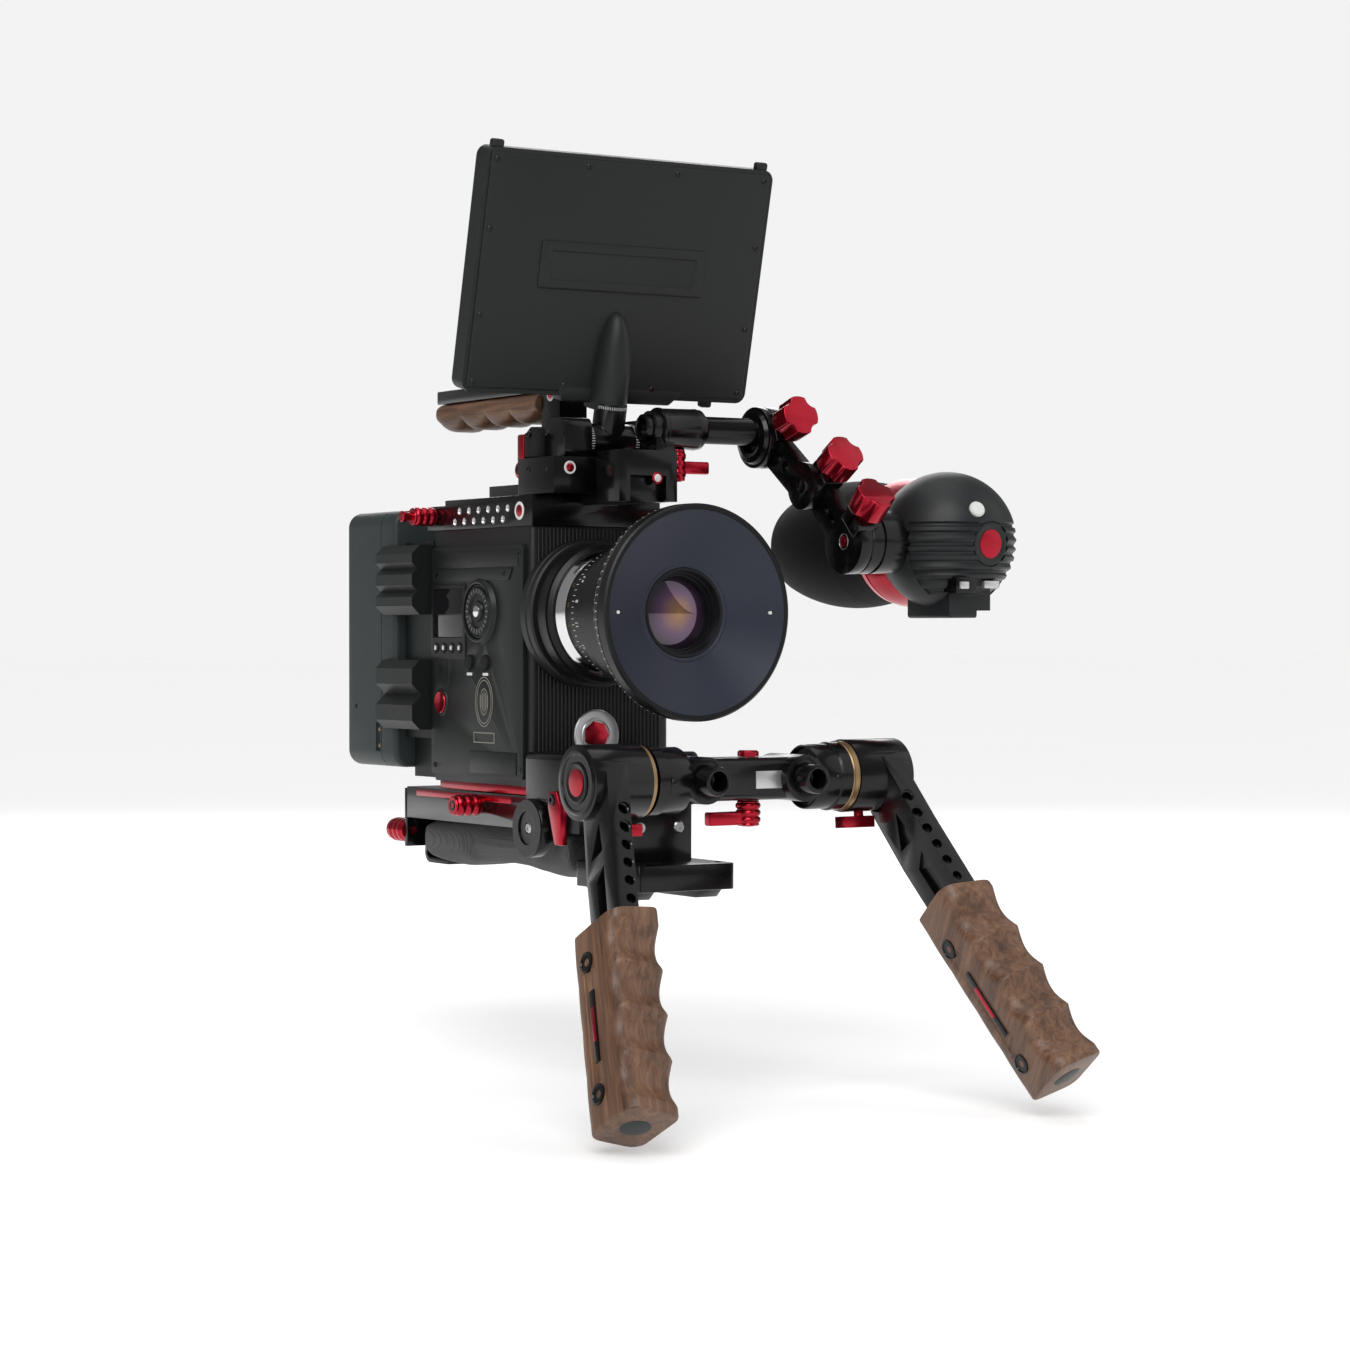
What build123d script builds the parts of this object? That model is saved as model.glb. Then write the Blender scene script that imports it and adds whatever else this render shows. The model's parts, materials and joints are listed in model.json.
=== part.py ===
from build123d import *
import math
import os

# Cinema camera rig. Millimetres. The origin is the tripod socket in the underside of the
# tripod plate, +Z is up and -Y is the way the lens looks.

# ---------------------------------------------------------------- fits and gaps
RUN = 0.05          # radial running clearance of a shaft in its hole
GAP = 0.3           # gap between faces that slide or turn past each other
FREE = 0.6          # gap between pieces that only pass near each other

# ---------------------------------------------------------------- base and rods
PLATE_W = 60.0      # tripod plate, across
PLATE_FRONT = -48.0
PLATE_REAR = 18.0
PLATE_T = 14.0
SOCKET_R = 4.7625   # 3/8 inch tripod thread
SOCKET_DEPTH = 11.0
BASE_W = 66.0       # long baseplate under the camera
BASE_LEN = 199.0
BASE_T = 18.0
COLUMN_W = 40.0     # block that stands on the tripod plate
COLUMN_FRONT = -20.0
COLUMN_H = 14.0     # tripod plate to baseplate
ROD_R = 7.5         # 15 mm support rods
ROD_SPACING = 60.0
ROD_DROP = 85.0     # lens axis down to the rods
ROD_FRONT = -125.0
ROD_THREAD_R = 5.0     # M10 extension thread in a rod's front end
ROD_THREAD_DEPTH = 12.0
ROD_BLOCK_FRONT = 8.0
ROD_BLOCK_LEN = 42.0
ROD_WALL = 4.5      # metal around a rod
PAD_W = 63.0        # shoulder pad
PAD_LEN = 180.0
PAD_T = 27.0
PAD_HOLLOW = 9.0    # how deep the pad's underside curves up
STRIP_T = 3.0       # bent strip behind the pad
ROSETTE_R = 15.875  # 31.75 mm rosette
ROSETTE_BORE_R = 3.0
ROSETTE_OUT = 45.0  # rosette face from the middle
ROSETTE_Y = 42.0

# ---------------------------------------------------------------- camera
LENS_Z = 146.0      # lens axis above the socket
BODY_LEFT = -34.0
BODY_RIGHT = 54.0
BODY_FRONT = 58.0
BODY_LEN = 114.0
BODY_H = 143.0
BODY_WALL = 6.0
QR_T = 5.0          # quick-release plate
QR_FOOT_W = 40.0
QR_FOOT_H = 3.0
PANEL_T = 2.5       # control panel on the camera's right-hand side
TOP_T = 17.0
RAIL_W = 22.0       # accessory rail on the top plate
RAIL_H = 9.0
RAIL_FRONT = 10.0
IO_LEN = 34.7
IO_TOP_DROP = 6.0   # housing top below the camera top
GUARD_OUT = 14.0    # connector guards stand out this far
BATTERY_W = 100.0
BATTERY_T = 62.0
BATTERY_H = 150.0
BATTERY_TRAVEL = 40.0
SIDE_TRAVEL = 1.0   # push of each key and button

# ---------------------------------------------------------------- lens
MOUNT_R = 41.0
MOUNT_LEN = 13.0
TUBE_R = 30.0       # outside of the lens tube, which the rings turn on
TUBE_WALL = 4.0
THROAT_R = TUBE_R - TUBE_WALL  # clear bore of the lens tube
LOCK_R = 39.0
LOCK_LEN = 12.0
COLLAR_R = 32.5
COLLAR_LEN = 18.0
IRIS_R = 36.0
IRIS_GEAR_R = 40.0
IRIS_LEN = 26.0
FOCUS_R = 44.0
FOCUS_FRONT_R = 51.0
FOCUS_LEN = 28.0
FRONT_R = 57.0      # 114 mm front
FRONT_LEN = 18.0
DISH_R = 54.0
EYE_R = THROAT_R - 2.5  # clear opening of the dish
GROUP_LEN = 9.0     # moving glass group
GROUP_TRAVEL = 3.0

# ---------------------------------------------------------------- monitor and handle
MOUNT_W = 71.0      # monitor mount, across
CHEEK_GAP = 32.6
TILT_R = 10.0
TILT_PIN_R = 4.0
TILT_Y = 50.0
STEM_R = 9.0
STEM_PIN_R = 6.0
STEM_LEN = 21.5
STEM_PIN_LEN = 30.0
MONITOR_W = 181.0
MONITOR_H = 131.0
MONITOR_T = 12.0
MONITOR_LEAN = 13.5  # degrees, top forward
SCREEN_INSET = 8.0
HANDLE_LEN = 119.0
HANDLE_W = 24.0
HANDLE_WOOD_T = 17.0
HANDLE_RAIL_T = 8.0
HANDLE_LIFT = 34.0  # finger room over the accessory rail
POST_LEN = 21.0

# ---------------------------------------------------------------- viewfinder
EVF_ROD_Y = 17.0
EVF_ROD_LIFT = 26.5  # rod axis over the accessory rail
EVF_ROD_LEN = 69.0
SLEEVE_R = 11.0
SLEEVE_LEN = 27.0
LINK_T = 7.0
ROD_DISC_T = 5.0
LINK_A_LEN = 48.0
LINK_A_DROP = 35.7   # degrees below level, pointing forward
LINK_B_LEN = 43.0
LINK_B_DROP = 46.0
HUB_A_R = 17.0
HUB_B_R = 13.0
HUB_C_R = 17.5
HUB_PIN_R = 4.0
KNOB_R = 11.0
KNOB_LEN = 13.0
KNOB_SHAFT_R = 3.0
KNOB_STAND = 6.0    # shaft that shows between a hub and its star knob
EVF_R = 38.0
EVF_SIDE = 59.0     # viewfinder middle beyond the last link
EVF_BACK = 31.0     # ball middle to its flat rear
CUP_R = 36.0
CUP_LEN = 94.0
CUP_WALL = 3.0
EYEPIECE_R = 25.0
EYEPIECE_LEN = 20.0

# ---------------------------------------------------------------- front grips
BAR_Y = -98.0
BAR_T = 20.0
BAR_H = 22.0
HOUSING_R = 15.5
HOUSING_IN = 40.0
HUB_IN = 63.0
HUB_OUT = 96.0
HUB_R = 19.0
TRUNNION_R = 8.0
ARM_T = 12.0
ARM_LEN = 83.5
SPLAY = 12.3        # degrees outward
LEFT_SWING = 32.2   # degrees forward of straight down
RIGHT_SWING = 36.3
GRIP_LEN = 108.0
GRIP_FORWARD = 1.5  # grip middle ahead of the hub
GRIP_DEPTH = 37.0
GRIP_W = 27.0
TRIGGER_LEN = 19.0
TRIGGER_T = 6.0
TRIGGER_TRAVEL = 2.0

# ---------------------------------------------------------------- worked-out levels
BASE_LOW = PLATE_T + COLUMN_H
BASE_TOP = BASE_LOW + BASE_T
BASE_FRONT = ROD_BLOCK_FRONT
BASE_REAR = BASE_FRONT + BASE_LEN
BODY_LOW = BASE_TOP + QR_T
BODY_TOP = BODY_LOW + BODY_H
BODY_REAR = BODY_FRONT + BODY_LEN
BODY_MID = (BODY_LEFT + BODY_RIGHT) / 2 - 1.0
PLATE_TOP = BODY_TOP + TOP_T
RAIL_TOP = PLATE_TOP + RAIL_H
ROD_Z = LENS_Z - ROD_DROP
LOCK_FRONT = BODY_FRONT - MOUNT_LEN - GAP - LOCK_LEN
COLLAR_FRONT = LOCK_FRONT - GAP - COLLAR_LEN
IRIS_FRONT = COLLAR_FRONT - GAP - IRIS_LEN
FOCUS_FRONT = IRIS_FRONT - GAP - FOCUS_LEN
TUBE_FRONT = FOCUS_FRONT - GAP
NOSE = TUBE_FRONT - FRONT_LEN
TILT_Z = RAIL_TOP + 20.5
EVF_ROD_Z = RAIL_TOP + EVF_ROD_LIFT
EVF_ROD_LEFT = BODY_MID + 6.0
EVF_HUB_X = EVF_ROD_LEFT + EVF_ROD_LEN

# where the smaller pieces sit
SIDE_LEVER_Y = 118.0
SIDE_LEVER_Z = BASE_TOP - 7.0
REAR_LEVER_X = -BASE_W / 2 + 4.0
REAR_LEVER_Z = BASE_LOW - 8.0
RELEASE_Y = BASE_FRONT + 5.0
RELEASE_Z = ROD_Z - ROD_R - 7.0

HOOP_W = 36.0
HOOP_TONGUE = 18.0

DIAL_Y = 111.5
DIAL_Z = LENS_Z + 1.5
DIAL_R = 15.0
KEY_R = 2.6
KEY_Z = LENS_Z - 19.0
KEY_FIRST_Y = 134.5
KEY_STEP = 9.3
FUNCTION_R = 4.0
FUNCTION_Y = (105.4, 124.0)
FUNCTION_Z = LENS_Z - 27.0
RECORD_R = 6.2
RECORD_Y = 157.6
RECORD_Z = LENS_Z - 50.0
SCREEN_Y = (130.5, 167.0)
SCREEN_Z = (LENS_Z - 13.5, LENS_Z + 15.0)
PUSH_OUT = 1.6      # keys and buttons stand this far out of the panel

TOP_LEVER_Y = BODY_REAR - 2.0
TOP_LEVER_Z = BODY_TOP + 8.0

BATTERY_MID = (BODY_LEFT + BODY_RIGHT) / 2 - 1.0
GUARD_INNER = BATTERY_MID - BATTERY_W / 2 - FREE

STEM_X = BODY_MID
KNOB_SEAT_R = 6.5
LOCK_KNOB_X = BODY_MID - MOUNT_W / 2 + 1.0
LOCK_KNOB_Y = TILT_Y + 17.0

MONITOR_FACE = 6.2   # stem axis to the monitor's forward face
MONITOR_FOOT = 23.5  # tilt axis to the monitor's lower edge

POST_FRONT = TILT_Y + 36.0
WOOD_FRONT = POST_FRONT + POST_LEN + 2.0
WOOD_LOW = RAIL_TOP + HANDLE_LIFT

HANDLE_LEVER_Y = POST_FRONT + 9.0
HANDLE_LEVER_Z = RAIL_TOP + 6.0

SLEEVE_LEFT = EVF_ROD_LEFT + 5.0
CLAMP_LEVER_X = SLEEVE_LEFT + 14.0
HUB_A = (EVF_ROD_Y, EVF_ROD_Z - 3.0)
DROP_A = math.radians(LINK_A_DROP)
DROP_B = math.radians(LINK_B_DROP)
HUB_B = (HUB_A[0] - LINK_A_LEN * math.cos(DROP_A), HUB_A[1] - LINK_A_LEN * math.sin(DROP_A))
HUB_C = (HUB_B[0] - LINK_B_LEN * math.cos(DROP_B), HUB_B[1] - LINK_B_LEN * math.sin(DROP_B))
LINK_A_X = EVF_HUB_X + ROD_DISC_T + GAP
LINK_B_X = LINK_A_X + LINK_T + GAP
PIVOT_X = LINK_B_X + LINK_T + GAP
EVF_MID = LINK_B_X + LINK_T + EVF_SIDE
EVF_Y = HUB_C[0] - 4.0
EVF_Z = HUB_C[1] + 1.0
RISE = (18.0, 32.0, 45.0)  # degrees that each star knob points above straight forward

BUTTON_DIR = (-0.13, -0.89, 0.43)

CUP_FRONT_R = 29.0
CUP_REAR_R = 27.0

BAR_LEVER_X = 5.0

ARM_X = 83.0
TRIGGER_BACK = 32.0  # degrees from straight down, to the rear
TRIGGER_X = -12.5
TRIGGER_STEM = 2.5


def span(x0, x1, y0, y1, z0, z1):
    """Block between two corners."""
    return Pos((x0 + x1) / 2, (y0 + y1) / 2, (z0 + z1) / 2) * Box(x1 - x0, y1 - y0, z1 - z0)


def rod_x(r, x0, x1, y, z):
    """Cylinder that lies along X."""
    return Pos((x0 + x1) / 2, y, z) * Rot(0, 90, 0) * Cylinder(r, x1 - x0)


def rod_y(r, y0, y1, x, z):
    """Cylinder that lies along Y."""
    return Pos(x, (y0 + y1) / 2, z) * Rot(90, 0, 0) * Cylinder(r, y1 - y0)


def rod_z(r, z0, z1, x, y):
    """Upright cylinder."""
    return Pos(x, y, (z0 + z1) / 2) * Cylinder(r, z1 - z0)


def cone_y(r_front, r_rear, y0, y1, x, z):
    """Cone along Y, from its front radius to its rear radius."""
    return Pos(x, (y0 + y1) / 2, z) * Rot(90, 0, 0) * Cone(r_rear, r_front, y1 - y0)


def outline_x(points, x0, x1):
    """Flat plate cut to a (y, z) outline, between two x."""
    face = make_face(Polyline(*[(x0, y, z) for y, z in points], close=True))
    return extrude(face, amount=x1 - x0, dir=(1, 0, 0))


def softened(solid, axis, radius):
    """The block with its edges along one axis rounded."""
    return fillet(solid.edges().filter_by(axis), radius)


def save(name, solid):
    """Write one node."""
    shapes = solid.solids()
    whole = shapes[0] if len(shapes) == 1 else Compound(children=shapes)
    export_step(whole, "parts/" + name + ".step")
    print(name, len(shapes), round(whole.volume))


# ---------------------------------------------------------------- base
def tripod_plate():
    half = PLATE_W / 2
    plate = softened(span(-half, half, PLATE_FRONT, PLATE_REAR, 0, PLATE_T), Axis.Z, 3.0)
    return plate - rod_z(SOCKET_R, -1, SOCKET_DEPTH, 0, 0)


def rod_bores(radius, y0, y1):
    half = ROD_SPACING / 2
    return rod_y(radius, y0, y1, -half, ROD_Z) + rod_y(radius, y0, y1, half, ROD_Z)


def rosette(side):
    z = BASE_LOW + 2.0
    face = side * ROSETTE_OUT
    neck = side * BASE_W / 2
    thick = side * 6.0
    disc = rod_x(ROSETTE_R, min(face, face - thick), max(face, face - thick), ROSETTE_Y, z)
    boss = rod_x(9.0, min(face, neck), max(face, neck), ROSETTE_Y, z)
    bore = rod_x(ROSETTE_BORE_R, min(face, neck) - 1, max(face, neck) + 1, ROSETTE_Y, z)
    return disc + boss - bore


def baseplate():
    half = BASE_W / 2
    plate = span(-half, half, BASE_FRONT, BASE_REAR, BASE_LOW, BASE_TOP)
    column = span(-COLUMN_W / 2, COLUMN_W / 2, COLUMN_FRONT, PLATE_REAR, PLATE_T, BASE_TOP)
    block_w = ROD_SPACING / 2 + ROD_R + ROD_WALL
    block_rear = BASE_FRONT + ROD_BLOCK_LEN
    rod_block = span(-block_w, block_w, BASE_FRONT, block_rear, BASE_TOP - 4.0, ROD_Z + ROD_R + 2.5)
    rod_block = softened(rod_block, Axis.Y, 4.0)
    whole = plate + column + rod_block + rosette(-1) + rosette(1)
    slot_half = QR_FOOT_W / 2 + GAP
    slot = span(
        BODY_MID - slot_half, BODY_MID + slot_half,
        block_rear + 2.0, BASE_REAR + 1, BASE_TOP - QR_FOOT_H - GAP, BASE_TOP + 1,
    )
    lightening = span(
        -half + 8.0, half - 8.0, block_rear + 20.0, BASE_REAR - 25.0, BASE_LOW - 1, BASE_LOW + 8.0)
    bores = rod_bores(ROD_R, BASE_FRONT - 1, block_rear + 1)
    lever_hole = rod_x(2.5 + RUN, -half - 1, -half + 10.0, SIDE_LEVER_Y, SIDE_LEVER_Z)
    block_side = -block_w
    release_hole = rod_x(2.5 + RUN, block_side - 1, block_side + 9.0, RELEASE_Y, RELEASE_Z)
    return whole - slot - lightening - bores - lever_hole - release_hole


def side_lever():
    out = -BASE_W / 2
    drum = rod_x(6.0, out - 18.0, out - GAP, SIDE_LEVER_Y, SIDE_LEVER_Z)
    shaft = rod_x(2.5, out - 1.0, out + 9.0, SIDE_LEVER_Y, SIDE_LEVER_Z)
    tail = span(out - 7.0, out - 2.0, SIDE_LEVER_Y, SIDE_LEVER_Y + 19.0, SIDE_LEVER_Z - 2.5, SIDE_LEVER_Z + 2.5)
    return drum + shaft + tail


def rear_lever():
    face = BASE_REAR + STRIP_T
    drum = rod_y(7.0, face + GAP, face + 20.0, REAR_LEVER_X, REAR_LEVER_Z)
    shaft = rod_y(2.5, BASE_REAR - 1.5, face + 1.0, REAR_LEVER_X, REAR_LEVER_Z)
    tail = span(
        REAR_LEVER_X, REAR_LEVER_X + 16.0,
        face + 3.0, face + 9.0, REAR_LEVER_Z - 9.0, REAR_LEVER_Z - 3.0,
    )
    return drum + shaft + tail


def release_lever():
    side = -(ROD_SPACING / 2 + ROD_R + ROD_WALL)
    shaft = rod_x(2.5, side - 1.0, side + 8.0, RELEASE_Y, RELEASE_Z)
    head = rod_x(6.0, side - 5.0, side - GAP, RELEASE_Y, RELEASE_Z)
    blade = span(side - 5.0, side - GAP, RELEASE_Y - 9.0, RELEASE_Y - 1.0, RELEASE_Z - 24.0, RELEASE_Z + 2.0)
    return shaft + head + blade


def shoulder_pad():
    half = PAD_W / 2
    front = PLATE_REAR + 4.0
    rear = front + PAD_LEN
    top = BASE_LOW
    low = top - PAD_T
    pad = softened(span(-half, half, front, rear, low, top), Axis.Y, 8.0)
    chord = PAD_LEN / 2 - 20.0
    radius = (chord ** 2 + PAD_HOLLOW ** 2) / (2 * PAD_HOLLOW)
    pad = pad - rod_x(radius, -half - 1, half + 1, (front + rear) / 2, low + PAD_HOLLOW - radius)
    return pad - span(-HOOP_W / 2 - GAP, HOOP_W / 2 + GAP, rear - HOOP_TONGUE, rear + 1, low - 1, low + STRIP_T)


def shoulder_frame():
    """Hanger plate behind the baseplate and the bent hoop that carries the pad's rear end."""
    plate_y = BASE_REAR
    plate = span(-BASE_W / 2, BASE_W / 2, plate_y, plate_y + STRIP_T, REAR_LEVER_Z - 9.0, BASE_TOP - 1.0)
    plate = plate - rod_y(2.5 + RUN, plate_y - 1, plate_y + STRIP_T + 1, REAR_LEVER_X, REAR_LEVER_Z)
    low = BASE_LOW - PAD_T
    pad_rear = PLATE_REAR + 4.0 + PAD_LEN
    radius = (REAR_LEVER_Z - 9.0 + STRIP_T - low) / 2
    centre_z = low + radius
    half = HOOP_W / 2
    hoop = rod_x(radius, -half, half, plate_y, centre_z)
    hoop = hoop - rod_x(radius - STRIP_T, -half - 1, half + 1, plate_y, centre_z)
    hoop = hoop - span(-half - 1, half + 1, plate_y - radius - 1, plate_y, low - 1, BASE_TOP)
    tongue = span(-half, half, pad_rear - HOOP_TONGUE, plate_y, low, low + STRIP_T)
    return plate + hoop + tongue


def support_rods():
    block_rear = BASE_FRONT + ROD_BLOCK_LEN
    rods = rod_bores(ROD_R, ROD_FRONT, block_rear)
    rods = rods - rod_bores(ROD_THREAD_R, ROD_FRONT - 1, ROD_FRONT + ROD_THREAD_DEPTH)
    return Compound(children=rods.solids())


# ---------------------------------------------------------------- camera


def key_places():
    """Name, y, z and radius of each round key and button on the control panel."""
    places = [("soft_key_%d" % (i + 1), KEY_FIRST_Y + i * KEY_STEP, KEY_Z, KEY_R) for i in range(4)]
    places += [("function_button_%d" % (i + 1), y, FUNCTION_Z, FUNCTION_R) for i, y in enumerate(FUNCTION_Y)]
    places.append(("record_button", RECORD_Y, RECORD_Z, RECORD_R))
    return places


def quick_release_plate():
    half = QR_FOOT_W / 2
    plate = span(BODY_LEFT + 2.0, BODY_RIGHT - 2.0, BODY_FRONT + 4.0, BODY_REAR - 4.0, BASE_TOP + GAP, BODY_LOW)
    foot = span(
        BODY_MID - half, BODY_MID + half,
        BODY_FRONT + 4.0, BODY_REAR - 4.0, BASE_TOP - QR_FOOT_H, BASE_TOP + GAP + 0.5,
    )
    return plate + foot


def camera_body():
    shell = span(BODY_LEFT, BODY_RIGHT, BODY_FRONT, BODY_REAR, BODY_LOW, BODY_TOP)
    shell = softened(shell, Axis.Z, 3.0)
    w = BODY_WALL
    cavity = span(
        BODY_LEFT + w, BODY_RIGHT - w, BODY_FRONT + w + 2.0, BODY_REAR - w, BODY_LOW + w, BODY_TOP - w,
    )
    throat = rod_y(THROAT_R + 1.0, BODY_FRONT - 1, BODY_FRONT + w + 3.0, 0, LENS_Z)
    return shell - cavity - throat


def sensor_block():
    front = BODY_FRONT + BODY_WALL + 2.0
    block = span(-23.0, 29.0, front, front + 16.0, LENS_Z - 30.0, LENS_Z + 30.0)
    window = span(-16.0, 16.0, front - 1, front + 4.0, LENS_Z - 9.0, LENS_Z + 9.0)
    return block - window


def side_panel():
    x0 = BODY_LEFT - PANEL_T
    panel = span(x0, BODY_LEFT, BODY_FRONT + 5.0, BODY_REAR - 2.0, BODY_LOW + 4.0, BODY_TOP - 10.0)
    panel = softened(panel, Axis.X, 3.0)
    panel = panel - rod_x(DIAL_R + GAP, x0 - 1, BODY_LEFT + 1, DIAL_Y, DIAL_Z)
    for name, y, z, r in key_places():
        panel = panel - rod_x(r + GAP, x0 - 1, BODY_LEFT + 1, y, z)
    glass = span(x0 - 1, x0 + 1.5, SCREEN_Y[0], SCREEN_Y[1], SCREEN_Z[0], SCREEN_Z[1])
    return panel - glass


def display_glass():
    x0 = BODY_LEFT - PANEL_T
    return span(x0 + 0.3, x0 + 1.5, SCREEN_Y[0], SCREEN_Y[1], SCREEN_Z[0], SCREEN_Z[1])


def menu_dial():
    x0 = BODY_LEFT - PANEL_T
    disc = rod_x(DIAL_R, x0 - 2.0, BODY_LEFT - GAP, DIAL_Y, DIAL_Z)
    return disc + rod_x(5.0, x0 - 4.0, x0, DIAL_Y, DIAL_Z)


def push_button(y, z, r):
    x0 = BODY_LEFT - PANEL_T
    return rod_x(r, x0 - PUSH_OUT, BODY_LEFT - SIDE_TRAVEL - 0.2, y, z)


def lens_mount():
    ring = rod_y(MOUNT_R, BODY_FRONT - MOUNT_LEN, BODY_FRONT, 0, LENS_Z)
    return ring - rod_y(THROAT_R + 1.0, BODY_FRONT - MOUNT_LEN - 1, BODY_FRONT + 1, 0, LENS_Z)


def top_plate():
    plate = span(BODY_LEFT, BODY_RIGHT - 6.0, BODY_FRONT - 1.0, BODY_REAR - 14.0, BODY_TOP, PLATE_TOP)
    ledge = span(BODY_LEFT, BODY_RIGHT - 6.0, BODY_REAR - 14.0, BODY_REAR + 8.0, BODY_TOP, BODY_TOP + 14.0)
    half = RAIL_W / 2
    low = PLATE_TOP
    nose = span(BODY_MID - half, BODY_MID + half, RAIL_FRONT, BODY_FRONT, low - 5.0, RAIL_TOP)
    rail = span(BODY_MID - half, BODY_MID + half, BODY_FRONT - 1.0, BODY_REAR - 8.0, low - 1.0, RAIL_TOP)
    hole = rod_x(2.5 + RUN, BODY_LEFT - 1, BODY_LEFT + 12.0, TOP_LEVER_Y, TOP_LEVER_Z)
    return plate + ledge + nose + rail - hole


def top_plate_lever():
    drum = rod_x(5.5, BODY_LEFT - 15.0, BODY_LEFT - GAP, TOP_LEVER_Y, TOP_LEVER_Z)
    stub = rod_x(3.0, BODY_LEFT - 22.0, BODY_LEFT - 14.0, TOP_LEVER_Y, TOP_LEVER_Z)
    shaft = rod_x(2.5, BODY_LEFT - 1.0, BODY_LEFT + 11.0, TOP_LEVER_Y, TOP_LEVER_Z)
    return drum + stub + shaft


def guard(z0, z1):
    """One rounded guard over a row of sockets on the housing's side."""
    rear = BODY_REAR + IO_LEN
    inner = span(BODY_LEFT - 5.0, BODY_LEFT, BODY_REAR, rear, z0, z1)
    outer = span(BODY_LEFT - GUARD_OUT, GUARD_INNER, BODY_REAR, rear + 11.0, z0, z1)
    bridge = span(GUARD_INNER - 1.0, BODY_LEFT - 4.5, BODY_REAR, rear, z0, z1)
    return inner + outer + bridge


def io_housing():
    rear = BODY_REAR + IO_LEN
    top = BODY_TOP - IO_TOP_DROP
    upper = span(BODY_LEFT, BODY_RIGHT, BODY_REAR, rear, LENS_Z - 71.0, top)
    lower = span(BODY_LEFT + 6.0, BODY_RIGHT - 4.0, BODY_REAR, rear, BODY_LOW + 1.0, LENS_Z - 70.0)
    return upper + lower + guard(LENS_Z, LENS_Z + 40.0) + guard(LENS_Z - 66.0, LENS_Z - 26.0)


def battery_pack():
    front = BODY_REAR + IO_LEN + GAP
    half = BATTERY_W / 2
    low = BODY_LOW + 6.0
    pack = span(BATTERY_MID - half, BATTERY_MID + half, front, front + BATTERY_T, low, low + BATTERY_H)
    return softened(pack, Axis.Y, 9.0)


# ---------------------------------------------------------------- lens
def ring_y(r_out, r_in, y0, y1):
    return rod_y(r_out, y0, y1, 0, LENS_Z) - rod_y(r_in, y0 - 1, y1 + 1, 0, LENS_Z)


def lens_lock_ring():
    return ring_y(LOCK_R, TUBE_R + RUN, LOCK_FRONT, LOCK_FRONT + LOCK_LEN)


def lens_barrel():
    tube = rod_y(TUBE_R, TUBE_FRONT, BODY_FRONT - MOUNT_LEN, 0, LENS_Z)
    collar = rod_y(COLLAR_R, COLLAR_FRONT, COLLAR_FRONT + COLLAR_LEN, 0, LENS_Z)
    return tube + collar - rod_y(THROAT_R, TUBE_FRONT - 1, BODY_FRONT, 0, LENS_Z)


def iris_ring():
    plain = ring_y(IRIS_R, TUBE_R + RUN, IRIS_FRONT, IRIS_FRONT + IRIS_LEN)
    return plain + ring_y(IRIS_GEAR_R, TUBE_R + RUN, IRIS_FRONT, IRIS_FRONT + IRIS_LEN / 2)


def focus_ring():
    rear = ring_y(FOCUS_R, TUBE_R + RUN, FOCUS_FRONT, FOCUS_FRONT + FOCUS_LEN)
    half = FOCUS_LEN / 2
    cone = cone_y(FOCUS_FRONT_R, FOCUS_R, FOCUS_FRONT, FOCUS_FRONT + half, 0, LENS_Z)
    return rear + cone - rod_y(TUBE_R + RUN, FOCUS_FRONT - 1, FOCUS_FRONT + FOCUS_LEN, 0, LENS_Z)


def front_barrel():
    rear = cone_y(FRONT_R, FOCUS_FRONT_R + 1.0, TUBE_FRONT - 10.0, TUBE_FRONT, 0, LENS_Z)
    rim = rod_y(FRONT_R, NOSE, TUBE_FRONT - 10.0, 0, LENS_Z)
    sleeve = rod_y(THROAT_R - RUN, TUBE_FRONT - 1, TUBE_FRONT + 16.0, 0, LENS_Z)
    dish = cone_y(DISH_R, EYE_R, NOSE - 0.01, TUBE_FRONT - 4.0, 0, LENS_Z)
    eye = rod_y(EYE_R, NOSE, TUBE_FRONT + 17.0, 0, LENS_Z)
    return rear + rim + sleeve - dish - eye


def front_glass():
    centre = TUBE_FRONT + 4.0
    disc = rod_y(EYE_R, centre, centre + 8.0, 0, LENS_Z)
    dome_r = 40.0
    dome = Pos(0, centre - 3.0 + dome_r, LENS_Z) * Sphere(dome_r)
    return (disc + rod_y(EYE_R, centre - 6.0, centre, 0, LENS_Z)) & (dome + disc)


def focus_group():
    mid = IRIS_FRONT
    cell = ring_y(THROAT_R - RUN, 19.0, mid - GROUP_LEN / 2, mid + GROUP_LEN / 2)
    return cell + rod_y(19.5, mid - 2.5, mid + 2.5, 0, LENS_Z)


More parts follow.
